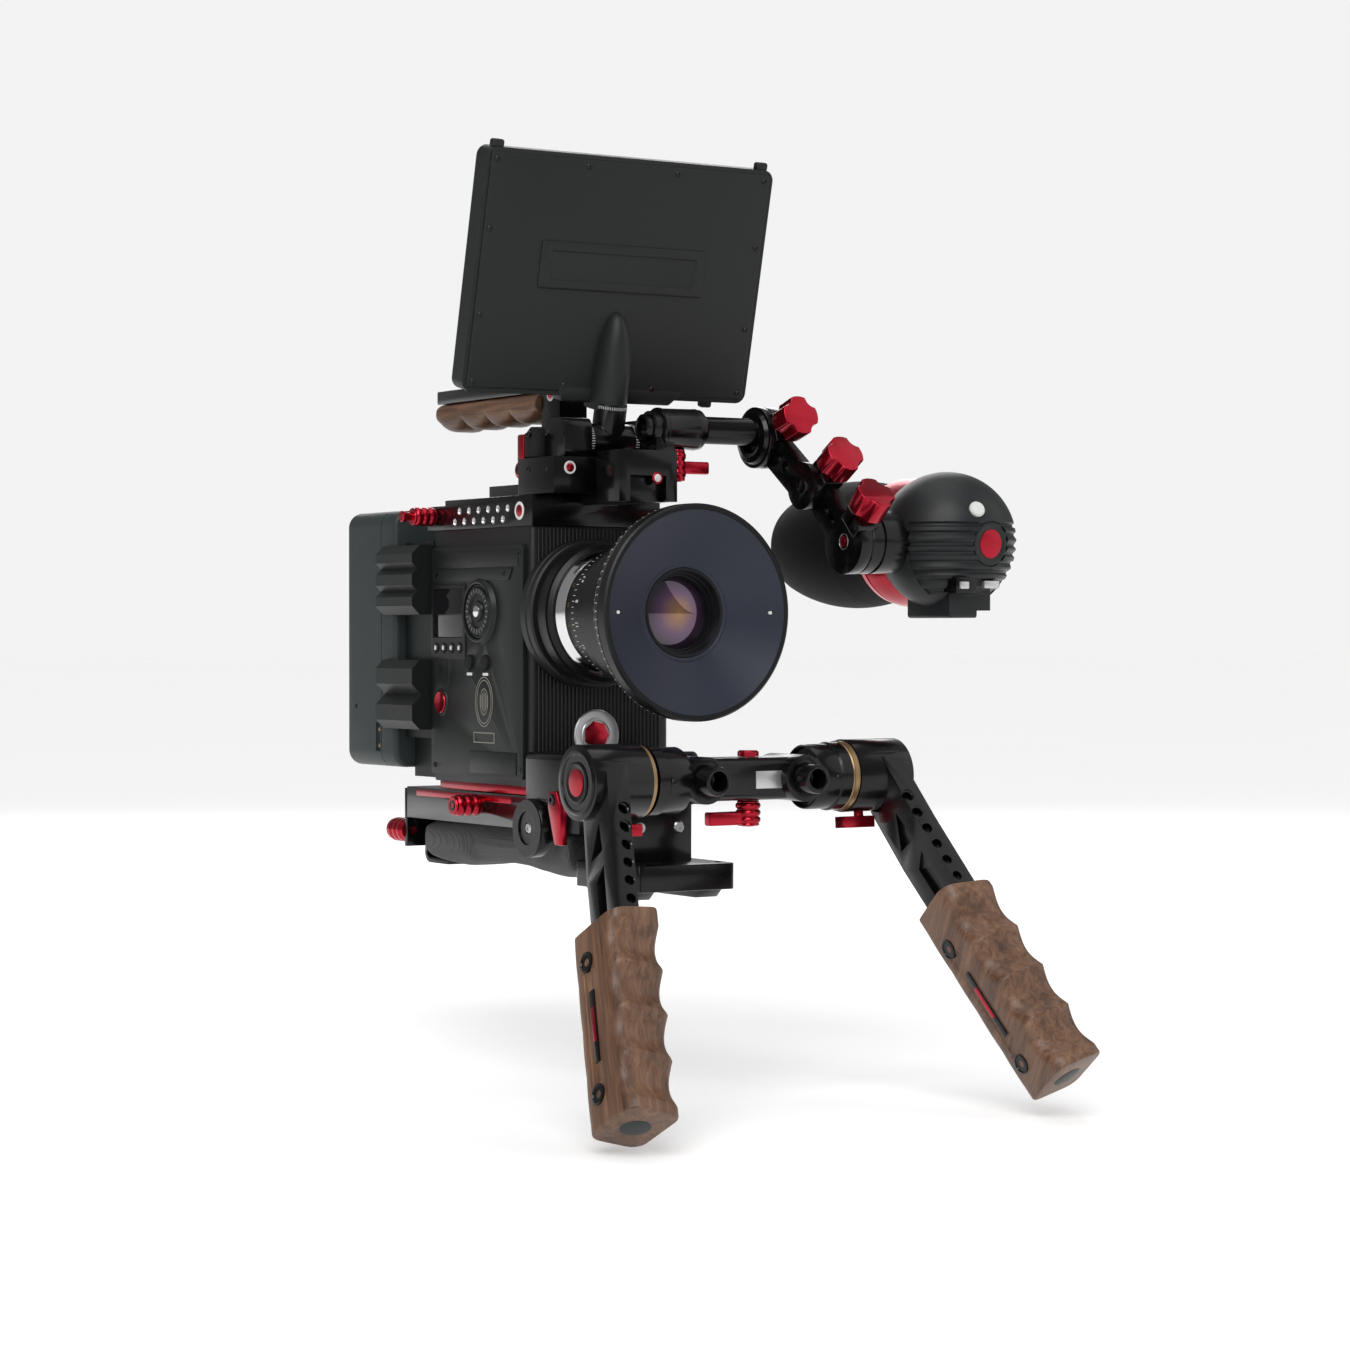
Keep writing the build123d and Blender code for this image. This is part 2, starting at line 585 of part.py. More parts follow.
# ---------------------------------------------------------------- monitor
def monitor_mount():
    half = RAIL_W / 2 + GAP
    left = BODY_MID - MOUNT_W / 2 - 6.0
    right = left + MOUNT_W
    front = TILT_Y - 14.0
    base = span(left, right, front, TILT_Y + 25.0, PLATE_TOP + GAP, RAIL_TOP + 11.0)
    channel = span(BODY_MID - half, BODY_MID + half, front - 1, TILT_Y + 26.0, PLATE_TOP - 1, RAIL_TOP)
    inner = CHEEK_GAP / 2
    cheek = (front + 2.0, TILT_Y + 14.0, RAIL_TOP + 10.0, TILT_Z + 12.0)
    cheek_a = span(STEM_X - inner - 17.0, STEM_X - inner, *cheek)
    cheek_b = span(STEM_X + inner, STEM_X + inner + 12.0, *cheek)
    cheeks = softened(cheek_a, Axis.X, 5.0) + softened(cheek_b, Axis.X, 5.0)
    bearing = rod_x(TILT_PIN_R + RUN, STEM_X - inner - 9.0, STEM_X + inner + 9.0, TILT_Y, TILT_Z)
    saddle = rod_x(TILT_R + FREE, STEM_X - inner, STEM_X + inner, TILT_Y, TILT_Z)
    knob_hole = rod_z(2.5 + RUN, PLATE_TOP - 1, RAIL_TOP + 12.0, LOCK_KNOB_X, LOCK_KNOB_Y)
    knob_seat = rod_z(KNOB_SEAT_R + FREE, RAIL_TOP + 11.0, TILT_Z + 20.0, LOCK_KNOB_X, LOCK_KNOB_Y)
    return base + cheeks - channel - bearing - saddle - knob_hole - knob_seat


def monitor_knob():
    z = RAIL_TOP + 11.0 + GAP
    barrel = rod_z(KNOB_SEAT_R, z, z + 17.0, LOCK_KNOB_X, LOCK_KNOB_Y)
    return barrel + rod_z(2.5, z - 14.0, z + 1.0, LOCK_KNOB_X, LOCK_KNOB_Y)


def leaning(solid):
    """Stand a piece made upright over the tilt axis at the monitor's lean."""
    return Pos(0, TILT_Y, TILT_Z) * Rot(MONITOR_LEAN, 0, 0) * solid


def tilt_tube():
    inner = CHEEK_GAP / 2
    tube = rod_x(TILT_R, STEM_X - inner + GAP, STEM_X + inner - GAP, 0, 0)
    pin = rod_x(TILT_PIN_R, STEM_X - inner - 8.0, STEM_X + inner + 8.0, 0, 0)
    stem = rod_z(STEM_R, 0, STEM_LEN, STEM_X, 0)
    spigot = rod_z(STEM_PIN_R, STEM_LEN - 1.0, STEM_LEN + STEM_PIN_LEN, STEM_X, 0)
    return leaning(tube + pin + stem + spigot)


def monitor_shell():
    half = MONITOR_W / 2
    y0 = MONITOR_FACE
    y1 = y0 + MONITOR_T
    slab = span(STEM_X - half, STEM_X + half, y0, y1, MONITOR_FOOT, MONITOR_FOOT + MONITOR_H)
    slab = softened(slab, Axis.Y, 6.0)
    socket = rod_z(STEM_PIN_R + 5.0, STEM_LEN + GAP, STEM_LEN + STEM_PIN_LEN + 8.0, STEM_X, 0)
    bore = rod_z(STEM_PIN_R + RUN, STEM_LEN, STEM_LEN + STEM_PIN_LEN + 1.0, STEM_X, 0)
    inset = SCREEN_INSET
    window = span(
        STEM_X - half + inset, STEM_X + half - inset,
        y1 - 2.0, y1 + 1, MONITOR_FOOT + inset, MONITOR_FOOT + MONITOR_H - inset,
    )
    return leaning(slab + socket - bore - window)


def monitor_screen():
    half = MONITOR_W / 2 - SCREEN_INSET
    y1 = MONITOR_FACE + MONITOR_T
    low = MONITOR_FOOT + SCREEN_INSET
    return leaning(span(STEM_X - half, STEM_X + half, y1 - 2.0, y1 - 0.4, low, low + MONITOR_H - 2 * SCREEN_INSET))


# ---------------------------------------------------------------- handle


def handle_frame():
    half = RAIL_W / 2 + GAP
    rear = POST_FRONT + POST_LEN
    clamp = span(BODY_MID - half - 10.0, BODY_MID + half + 10.0, POST_FRONT, rear + 5.0, PLATE_TOP + GAP, RAIL_TOP + 12.0)
    channel = span(BODY_MID - half, BODY_MID + half, POST_FRONT - 1, rear + 6.0, PLATE_TOP - 1, RAIL_TOP + GAP)
    top = WOOD_LOW + HANDLE_WOOD_T
    post = span(BODY_MID - 9.0, BODY_MID + 9.0, POST_FRONT, rear, RAIL_TOP + 11.0, top + HANDLE_RAIL_T)
    rail_end = WOOD_FRONT + HANDLE_LEN + 4.0
    rail = span(BODY_MID - 9.0, BODY_MID + 9.0, rear - 1.0, rail_end, top, top + HANDLE_RAIL_T)
    hole = rod_x(2.5 + RUN, BODY_MID - half - 11.0, BODY_MID - half - 1.0, HANDLE_LEVER_Y, HANDLE_LEVER_Z)
    return clamp + post + rail - channel - hole


def handle_lever():
    out = BODY_MID - RAIL_W / 2 - GAP - 10.0
    drum = rod_x(5.0, out - 9.0, out - GAP, HANDLE_LEVER_Y, HANDLE_LEVER_Z)
    shaft = rod_x(2.5, out - 1.0, out + 7.0, HANDLE_LEVER_Y, HANDLE_LEVER_Z)
    tail = span(out - 8.0, out - 4.0, HANDLE_LEVER_Y - 3.5, HANDLE_LEVER_Y + 3.5, HANDLE_LEVER_Z, HANDLE_LEVER_Z + 20.0)
    return drum + shaft + tail


def handle_wood():
    half = HANDLE_W / 2
    top = WOOD_LOW + HANDLE_WOOD_T
    wood = span(BODY_MID - half, BODY_MID + half, WOOD_FRONT, WOOD_FRONT + HANDLE_LEN, WOOD_LOW, top)
    pitch = HANDLE_LEN / 4.6
    radius = 14.0
    for i in range(4):
        y = WOOD_FRONT + pitch * (i + 0.62)
        wood = wood - rod_x(radius, BODY_MID - half - 1, BODY_MID + half + 1, y, WOOD_LOW - radius + 6.0)
    return wood


# ---------------------------------------------------------------- viewfinder


def evf_clamp():
    half = RAIL_W / 2 + GAP
    front = EVF_ROD_Y - 11.0
    rear = EVF_ROD_Y + 13.0
    block = span(BODY_MID - half - 7.0, BODY_MID + half + 7.0, front, rear, PLATE_TOP + GAP - 5.0, RAIL_TOP + 14.0)
    channel = span(BODY_MID - half, BODY_MID + half, front - 1, rear + 1, PLATE_TOP - 6.0, RAIL_TOP + GAP)
    neck = span(SLEEVE_LEFT - 4.0, BODY_MID + half + 7.0, EVF_ROD_Y - 8.0, EVF_ROD_Y + 8.0, RAIL_TOP + 13.0, EVF_ROD_Z)
    sleeve = rod_x(SLEEVE_R, SLEEVE_LEFT, SLEEVE_LEFT + SLEEVE_LEN, EVF_ROD_Y, EVF_ROD_Z)
    bore = rod_x(ROD_R + RUN, SLEEVE_LEFT - 9.0, SLEEVE_LEFT + SLEEVE_LEN + 1, EVF_ROD_Y, EVF_ROD_Z)
    lever_hole = rod_z(2.5 + RUN, EVF_ROD_Z - SLEEVE_R - 1, EVF_ROD_Z, CLAMP_LEVER_X, EVF_ROD_Y)
    return block + neck + sleeve - channel - bore - lever_hole


def evf_clamp_lever():
    top = EVF_ROD_Z - SLEEVE_R - GAP
    drum = rod_z(5.0, top - 17.0, top, CLAMP_LEVER_X, EVF_ROD_Y)
    shaft = rod_z(2.5, top - 1.0, top + 2.5, CLAMP_LEVER_X, EVF_ROD_Y)
    paddle = span(CLAMP_LEVER_X, CLAMP_LEVER_X + 20.0, EVF_ROD_Y - 2.0, EVF_ROD_Y + 2.0, top - 13.0, top - 6.0)
    return drum + shaft + paddle


def evf_rod():
    rod = rod_x(ROD_R, EVF_ROD_LEFT, EVF_HUB_X + 1.0, EVF_ROD_Y, EVF_ROD_Z)
    disc = rod_x(HUB_A_R, EVF_HUB_X, EVF_HUB_X + ROD_DISC_T, HUB_A[0], HUB_A[1])
    return rod + disc - rod_x(HUB_PIN_R + RUN, EVF_HUB_X - 6.0, EVF_HUB_X + ROD_DISC_T + 1, HUB_A[0], HUB_A[1])


def link(x0, start, end, r_start, r_end):
    """Flat link between two round hubs in the YZ plane."""
    dy = end[0] - start[0]
    dz = end[1] - start[1]
    length = math.hypot(dy, dz)
    angle = math.degrees(math.atan2(dz, dy))
    mid = ((start[0] + end[0]) / 2, (start[1] + end[1]) / 2)
    width = min(r_start, r_end) * 1.5
    bar = Pos(x0 + LINK_T / 2, mid[0], mid[1]) * Rot(angle, 0, 0) * Box(LINK_T, length, width)
    ends = rod_x(r_start, x0, x0 + LINK_T, *start) + rod_x(r_end, x0, x0 + LINK_T, *end)
    return bar + ends


def knob_axis(centre, rise, x):
    """Frame at a hub centre whose Z axis is the star knob's axis."""
    return Pos(x, centre[0], centre[1]) * Rot(90 - rise, 0, 0)


def knob_bore(centre, rise, x, hub_r):
    return knob_axis(centre, rise, x) * Pos(0, 0, hub_r) * Cylinder(KNOB_SHAFT_R + RUN, 10.0)


def link_one():
    x = LINK_A_X
    body = link(x, HUB_A, HUB_B, HUB_A_R, HUB_B_R)
    pin = rod_x(HUB_PIN_R, EVF_HUB_X - 5.0, x + 1.0, *HUB_A)
    bore = rod_x(HUB_PIN_R + RUN, x - 1, x + LINK_T + 1, *HUB_B)
    return body + pin - bore - knob_bore(HUB_A, RISE[0], x + LINK_T / 2, HUB_A_R)


def link_two():
    x = LINK_B_X
    body = link(x, HUB_B, HUB_C, HUB_B_R, HUB_C_R)
    pin = rod_x(HUB_PIN_R, LINK_A_X + 0.5, x + 1.0, *HUB_B)
    bore = rod_x(HUB_PIN_R + RUN, x + 2.0, x + LINK_T + 1, *HUB_C)
    whole = body + pin - bore - knob_bore(HUB_B, RISE[1], x + LINK_T / 2, HUB_B_R)
    return whole - knob_bore(HUB_C, RISE[2], x + LINK_T / 2, HUB_C_R)


def star_knob(centre, rise, x, hub_r):
    base = hub_r + KNOB_STAND
    shaft_len = KNOB_STAND + 4.5
    shaft = Pos(0, 0, base - shaft_len / 2 + 0.5) * Cylinder(KNOB_SHAFT_R, shaft_len + 1.0)
    head = Pos(0, 0, base + KNOB_LEN / 2) * Cylinder(KNOB_R, KNOB_LEN)
    for i in range(4):
        a = math.radians(45 + 90 * i)
        reach = KNOB_R + 4.0
        flute = Pos(reach * math.cos(a), reach * math.sin(a), base + KNOB_LEN / 2) * Cylinder(6.0, KNOB_LEN + 1)
        head = head - flute
    return knob_axis(centre, rise, x) * (head + shaft)


def evf_body():
    ball = Pos(EVF_MID, EVF_Y, EVF_Z) * Sphere(EVF_R)
    flat = EVF_Y + EVF_BACK
    ball = ball - span(EVF_MID - 60, EVF_MID + 60, flat, flat + 60, EVF_Z - 60, EVF_Z + 60)
    ring = rod_y(EVF_R - 5.0, flat - 15.0, flat + 8.0, EVF_MID, EVF_Z)
    tube = rod_y(EYEPIECE_R, flat, flat + 8.0 + EYEPIECE_LEN, EVF_MID, EVF_Z)
    pivot = rod_x(HUB_C_R, PIVOT_X, EVF_MID, *HUB_C)
    pin = rod_x(HUB_PIN_R, LINK_B_X + 3.0, PIVOT_X + 1.0, *HUB_C)
    foot = span(EVF_MID - 14.0, EVF_MID + 14.0, EVF_Y - 22.0, EVF_Y + 18.0, EVF_Z - EVF_R - 4.0, EVF_Z - 20.0)
    hollow = rod_y(EYEPIECE_R - 4.0, flat - 10.0, flat + 9.0 + EYEPIECE_LEN, EVF_MID, EVF_Z)
    socket = button_place(EVF_R - 3.0) * Cylinder(4.5 + GAP, 8.0)
    return ball + ring + tube + pivot + pin + foot - hollow - socket


def button_place(distance):
    """Frame on the ball's button axis, its Z axis pointing out of the ball."""
    x, y, z = BUTTON_DIR
    plane = Plane(origin=(EVF_MID + x * distance, EVF_Y + y * distance, EVF_Z + z * distance), z_dir=BUTTON_DIR)
    return plane.location


def evf_button():
    return button_place(EVF_R) * Cylinder(4.5, 5.0)


def cup_profile(r_mid, r_front, r_rear, y0, y1):
    """Half section of the cup: a barrel curve from y0 to y1, closed on the axis."""
    mid = (y0 + y1) / 2
    curve = ThreePointArc((r_front, y0), (r_mid, mid), (r_rear, y1))
    walls = Polyline((r_rear, y1), (0, y1), (0, y0), (r_front, y0))
    return make_face(curve + walls)


def eyecup():
    front = EVF_Y + EVF_BACK + 8.0 + GAP
    outer = revolve(cup_profile(CUP_R, CUP_FRONT_R, CUP_REAR_R, 0, CUP_LEN), Axis.Y)
    wall = CUP_WALL
    seat = EYEPIECE_LEN
    inner = revolve(
        cup_profile(CUP_R - wall, CUP_FRONT_R, CUP_REAR_R - wall, seat, CUP_LEN + 1.0), Axis.Y,
    )
    bore = rod_y(EYEPIECE_R + RUN, front - 1, front + seat + 1, EVF_MID, EVF_Z)
    return Pos(EVF_MID, front, EVF_Z) * (outer - inner) - bore


# ---------------------------------------------------------------- front grips
def crossbar():
    half = ROD_SPACING / 2
    edge = BAR_T / 2
    bar = span(-HOUSING_IN - 1, HOUSING_IN + 1, BAR_Y - edge, BAR_Y + edge, ROD_Z - BAR_H / 2, ROD_Z + BAR_H / 2)
    bar = softened(bar, Axis.X, 4.0)
    lobe_r = ROD_R + ROD_WALL
    for x in (-half, half):
        bar = bar + rod_y(lobe_r, BAR_Y - edge - 6.0, BAR_Y + edge + 6.0, x, ROD_Z)
    for side in (-1, 1):
        a = side * HOUSING_IN
        b = side * (HUB_IN - GAP)
        bar = bar + rod_x(HOUSING_R, min(a, b), max(a, b), BAR_Y, ROD_Z)
        c = side * (HUB_OUT - 4.0)
        bar = bar + rod_x(TRUNNION_R, min(a, c), max(a, c), BAR_Y, ROD_Z)
    bores = rod_bores(ROD_R + RUN, BAR_Y - 30, BAR_Y + 30)
    shaft_hole = rod_z(3.0 + RUN, ROD_Z - 20, ROD_Z + 20, BAR_LEVER_X, BAR_Y)
    return bar - bores - shaft_hole


def crossbar_lever():
    low = ROD_Z - BAR_H / 2 - GAP
    high = ROD_Z + BAR_H / 2 + GAP
    drum = rod_z(6.5, low - 13.0, low, BAR_LEVER_X, BAR_Y)
    shaft = rod_z(3.0, low - 1.0, high + 1.0, BAR_LEVER_X, BAR_Y)
    cap = rod_z(5.5, high, high + 3.0, BAR_LEVER_X, BAR_Y)
    tail = span(BAR_LEVER_X - 25.0, BAR_LEVER_X, BAR_Y - 3.0, BAR_Y + 3.0, low - 12.5, low - 5.5)
    return drum + shaft + cap + tail


def hung(solid, side, swing):
    """Place a piece made hanging straight down, at its side and swing, mirrored for the left."""
    turned = Rot(-swing, 0, 0) * solid
    if side < 0:
        turned = mirror(turned, about=Plane.YZ)
    return Pos(side * ARM_X, BAR_Y, ROD_Z) * turned


def trigger_frame():
    """Frame at the hub centre whose Z axis points out at the trigger."""
    return Pos(TRIGGER_X, 0, 0) * Rot(180 + TRIGGER_BACK, 0, 0)


def trigger():
    base = HUB_R + TRIGGER_TRAVEL + GAP
    stem_mid = base - 3.0
    stem = Pos(TRIGGER_STEM, 0, stem_mid) * Cylinder(2.5, 8.0)
    blade = Pos(0, 0, base + TRIGGER_T / 2) * Box(TRIGGER_LEN, 9.0, TRIGGER_T)
    return trigger_frame() * (blade + stem)


def grip_arm():
    hub = rod_x(HUB_R, HUB_IN - ARM_X, HUB_OUT - ARM_X, 0, 0)
    front = -GRIP_FORWARD
    points = [
        (-HUB_R, 0.0), (front - 15.0, -40.0), (front - 14.0, -ARM_LEN),
        (front + 14.0, -ARM_LEN), (front + 14.0, -52.0), (HUB_R - 9.0, -16.0),
    ]
    plate = outline_x(points, -ARM_T / 2, ARM_T / 2)
    slot = outline_x(
        [(front - 5.0, -52.0), (front - 4.0, -ARM_LEN), (front + 4.0, -ARM_LEN), (front + 4.0, -58.0)],
        -ARM_T, ARM_T,
    )
    window = outline_x([(front - 4.0, -27.0), (front - 5.0, -44.0), (front + 8.0, -44.0)], -ARM_T, ARM_T)
    plate = Rot(0, -SPLAY, 0) * (plate - slot - window)
    keep_out = span(-40, HUB_IN - ARM_X, -60, 60, -HUB_R - 4.0, HUB_R + 4.0)
    level = -ARM_LEN * math.cos(math.radians(SPLAY)) + ARM_T / 2 * math.sin(math.radians(SPLAY))
    plate = plate - span(-60, 60, -60, 60, level - 60, level)
    bore = rod_x(TRUNNION_R + RUN, HUB_IN - ARM_X - 1, HUB_OUT - ARM_X - 3.5, 0, 0)
    trigger_hole = trigger_frame() * Pos(TRIGGER_STEM, 0, HUB_R - 3.0) * Cylinder(2.5 + RUN, 12.0)
    return hub + (plate - keep_out) - bore - trigger_hole, level


def grip_wood(level):
    length = GRIP_LEN
    half = GRIP_DEPTH / 2
    block = span(-GRIP_W / 2, GRIP_W / 2, -half, half, -length, 4.0)
    block = softened(block, Axis.Z, 8.0)
    radius = 15.0
    pitch = length / 4.5
    for i in range(4):
        z = -pitch * (i + 0.75)
        block = block - rod_x(radius, -GRIP_W, GRIP_W, -half - radius + 5.0, z)
    offset = -level * math.tan(math.radians(SPLAY))
    placed = Pos(offset, -GRIP_FORWARD, level) * Rot(0, -SPLAY, 0) * block
    return placed - span(-60, 60, -60, 60, level, level + 60)


def build():
    os.makedirs("parts", exist_ok=True)
    save("tripod_plate", tripod_plate())
    save("baseplate", baseplate())
    save("shoulder_frame", shoulder_frame())
    save("shoulder_pad", shoulder_pad())
    save("support_rods", support_rods())
    save("side_lever", side_lever())
    save("rear_lever", rear_lever())
    save("release_lever", release_lever())
    save("quick_release_plate", quick_release_plate())
    save("camera_body", camera_body())
    save("sensor_block", sensor_block())
    save("side_panel", side_panel())
    save("display_glass", display_glass())
    save("menu_dial", menu_dial())
    for name, y, z, r in key_places():
        save(name, push_button(y, z, r))
    save("lens_mount", lens_mount())
    save("top_plate", top_plate())
    save("top_plate_lever", top_plate_lever())
    save("io_housing", io_housing())
    save("battery_pack", battery_pack())
    save("lens_lock_ring", lens_lock_ring())
    save("lens_barrel", lens_barrel())
    save("iris_ring", iris_ring())
    save("focus_ring", focus_ring())
    save("front_barrel", front_barrel())
    save("front_glass", front_glass())
    save("focus_group", focus_group())
    save("monitor_mount", monitor_mount())
    save("monitor_knob", monitor_knob())
    save("tilt_tube", tilt_tube())
    save("monitor_shell", monitor_shell())
    save("monitor_screen", monitor_screen())
    save("handle_frame", handle_frame())
    save("handle_lever", handle_lever())
    save("handle_wood", handle_wood())
    save("evf_clamp", evf_clamp())
    save("evf_clamp_lever", evf_clamp_lever())
    save("evf_rod", evf_rod())
    save("link_one", link_one())
    save("link_two", link_two())
    half = LINK_T / 2
    save("star_knob_1", star_knob(HUB_A, RISE[0], LINK_A_X + half, HUB_A_R))
    save("star_knob_2", star_knob(HUB_B, RISE[1], LINK_B_X + half, HUB_B_R))
    save("star_knob_3", star_knob(HUB_C, RISE[2], LINK_B_X + half, HUB_C_R))
    save("evf_body", evf_body())
    save("evf_button", evf_button())
    save("eyecup", eyecup())
    save("crossbar", crossbar())
    save("crossbar_lever", crossbar_lever())
    arm, level = grip_arm()
    for name, side, swing in (("left", -1, LEFT_SWING), ("right", 1, RIGHT_SWING)):
        save(name + "_arm", hung(arm, side, swing))
        save(name + "_grip", hung(grip_wood(level), side, swing))
        save(name + "_trigger", hung(trigger(), side, swing))


build()
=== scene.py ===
# %% [markdown]
# # A cinema camera rig, dressed in Blender
# The machined model comes in first and fixes every size and joint. Each cell below
# then makes one piece or one finish: what it is on the real rig, how it could be made,
# and why it is made this way. All lengths are metres, +Z is up and -Y is the way the
# lens looks.

# %% Load the frame
import json
import math
import random
import bpy
from mathutils import Matrix, Vector


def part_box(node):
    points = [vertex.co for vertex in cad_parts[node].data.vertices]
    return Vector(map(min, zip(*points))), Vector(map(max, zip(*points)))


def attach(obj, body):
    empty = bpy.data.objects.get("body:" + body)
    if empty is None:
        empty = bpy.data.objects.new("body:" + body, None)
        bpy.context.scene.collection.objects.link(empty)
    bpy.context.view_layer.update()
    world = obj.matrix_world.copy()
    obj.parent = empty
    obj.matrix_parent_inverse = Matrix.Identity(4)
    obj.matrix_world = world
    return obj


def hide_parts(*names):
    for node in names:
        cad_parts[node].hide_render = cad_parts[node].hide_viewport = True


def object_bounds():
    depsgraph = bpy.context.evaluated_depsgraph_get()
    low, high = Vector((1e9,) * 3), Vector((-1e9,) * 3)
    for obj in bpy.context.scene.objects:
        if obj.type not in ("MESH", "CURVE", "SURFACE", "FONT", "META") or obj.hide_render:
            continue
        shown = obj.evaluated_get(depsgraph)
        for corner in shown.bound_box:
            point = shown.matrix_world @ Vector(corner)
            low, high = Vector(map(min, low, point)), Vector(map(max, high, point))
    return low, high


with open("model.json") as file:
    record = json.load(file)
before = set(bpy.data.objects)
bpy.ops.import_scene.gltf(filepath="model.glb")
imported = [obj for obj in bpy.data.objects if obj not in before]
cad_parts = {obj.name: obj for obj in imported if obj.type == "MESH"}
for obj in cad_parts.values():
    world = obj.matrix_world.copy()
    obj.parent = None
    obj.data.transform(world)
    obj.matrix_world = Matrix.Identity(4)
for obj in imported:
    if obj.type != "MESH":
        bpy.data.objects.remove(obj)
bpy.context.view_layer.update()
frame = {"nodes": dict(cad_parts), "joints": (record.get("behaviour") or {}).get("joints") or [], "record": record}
MM = 0.001
X, Y, Z = Vector((1, 0, 0)), Vector((0, 1, 0)), Vector((0, 0, 1))
random.seed(7)

# %% [markdown]
# ## Camera
# The camera comes first, because everything is judged through it. It stands low, ahead of
# the rig and to its right-hand side, with a long lens, so the shapes keep their proportions.

# %% Camera
camera_data = bpy.data.cameras.new("view")
camera_data.lens = 88.0
camera_data.sensor_width = 36.0
camera_data.clip_end = 50.0
camera = bpy.data.objects.new("view", camera_data)
camera.location = (-0.92148, -1.51011, 0.13415)
camera.rotation_euler = (math.radians(90 - 0.69), 0, math.radians(-32))
bpy.context.scene.collection.objects.link(camera)
bpy.context.scene.camera = camera


# %% [markdown]
# ## Writing materials as sums
# A material is a network of small nodes. Wired one by one it reads badly, so a tiny class
# wraps a socket and lets `+`, `-` and `*` add the Math nodes. Another class holds one
# finish: its surface shader and one method that adds any node.

# %% A socket that can be added and multiplied
class Value:
    """One output of a node; arithmetic on it adds Math nodes."""

    def __init__(self, finish, socket):
        self.finish = finish
        self.socket = socket

    def _math(self, operation, first, second):
        return self.finish.add("ShaderNodeMath", {"operation": operation}, {0: first, 1: second})

    def __add__(self, other):
        return self._math("ADD", self, other)

    def __radd__(self, other):
        return self._math("ADD", other, self)

    def __sub__(self, other):
        return self._math("SUBTRACT", self, other)

    def __rsub__(self, other):
        return self._math("SUBTRACT", other, self)

    def __mul__(self, other):
        return self._math("MULTIPLY", self, other)

    def __rmul__(self, other):
        return self._math("MULTIPLY", other, self)

    def above(self, other):
        return self._math("GREATER_THAN", self, other)

    def power(self, other):
        return self._math("POWER", self, other)

    def sine(self):
        return self._math("SINE", self, 0.0)


# %% A finish
class Finish:
    """A material with one surface shader and a method that adds any other node."""

    def __init__(self, name, roughness=0.5, metallic=0.0, **constants):
        self.material = bpy.data.materials.new(name)
        self.material.use_nodes = True
        self.tree = self.material.node_tree
        self.shader = self.tree.nodes["Principled BSDF"]
        self.shader.inputs["Roughness"].default_value = roughness
        self.shader.inputs["Metallic"].default_value = metallic
        for name, value in constants.items():
            self.shader.inputs[name.replace("_", " ").title()].default_value = value

    def put(self, socket, value):
        if isinstance(value, Value):
            self.tree.links.new(value.socket, socket)
        else:
            socket.default_value = value

    def add(self, kind, settings=None, sockets=None, out=0):
        node = self.tree.nodes.new(kind)
        for name, value in (settings or {}).items():
            if name == "stops":
                ramp = node.color_ramp.elements
                while len(ramp) < len(value):
                    ramp.new(0.5)
                for stop, (place, colour) in zip(ramp, value):
                    stop.position = place
                    stop.color = (*colour, 1)
            else:
                setattr(node, name, value)
        for name, value in (sockets or {}).items():
            self.put(node.inputs[name], value)
        return Value(self, node.outputs[out])

    def place(self, scale=(1, 1, 1), turn=(0, 0, 0), centre=(0, 0, 0)):
        """Object coordinates, moved to a centre, turned and stretched."""
        here = self.add("ShaderNodeTexCoord", out="Object")
        moved = self.add("ShaderNodeVectorMath", {"operation": "SUBTRACT"}, {0: here, 1: centre})
        return self.add("ShaderNodeMapping", {}, {"Vector": moved, "Rotation": turn, "Scale": scale})

    def along_grain(self, turn, stretch):
        """Object coordinates in a turned frame, drawn out along that frame's Z."""
        here = self.add("ShaderNodeTexCoord", out="Object")
        sockets = {"Vector": here, "Rotation": turn, "Scale": (1, 1, stretch)}
        return self.add("ShaderNodeMapping", {"vector_type": "TEXTURE"}, sockets)

    def noise(self, where, scale, detail=3.0, roughness=0.55, distortion=0.0):
        sockets = {"Vector": where, "Scale": scale, "Detail": detail, "Roughness": roughness}
        return self.add("ShaderNodeTexNoise", {}, {**sockets, "Distortion": distortion})

    def ramp(self, value, *stops):
        return self.add("ShaderNodeValToRGB", {"stops": stops}, {"Fac": value})

    def mix(self, amount, first, second):
        colours = {6: (*first, 1) if isinstance(first, tuple) else first,
                   7: (*second, 1) if isinstance(second, tuple) else second}
        return self.add("ShaderNodeMix", {"data_type": "RGBA"}, {0: amount, **colours}, out=2)

    def bump(self, height, depth, strength=1.0):
        return self.add("ShaderNodeBump", {}, {"Height": height, "Distance": depth, "Strength": strength})

    def surface(self, colour=None, roughness=None, normal=None, metallic=None):
        for name, value in (("Base Color", colour), ("Roughness", roughness),
                            ("Normal", normal), ("Metallic", metallic)):
            if value is not None:
                self.put(self.shader.inputs[name], (*value, 1) if isinstance(value, tuple) else value)
        return self.material


# %% [markdown]
# ## Finishes
# Most of the rig is aluminium, anodised black or crimson. Anodising keeps the metal's shine
# and the cutter's faint lines, so the colour, gloss and bump all vary a little together.

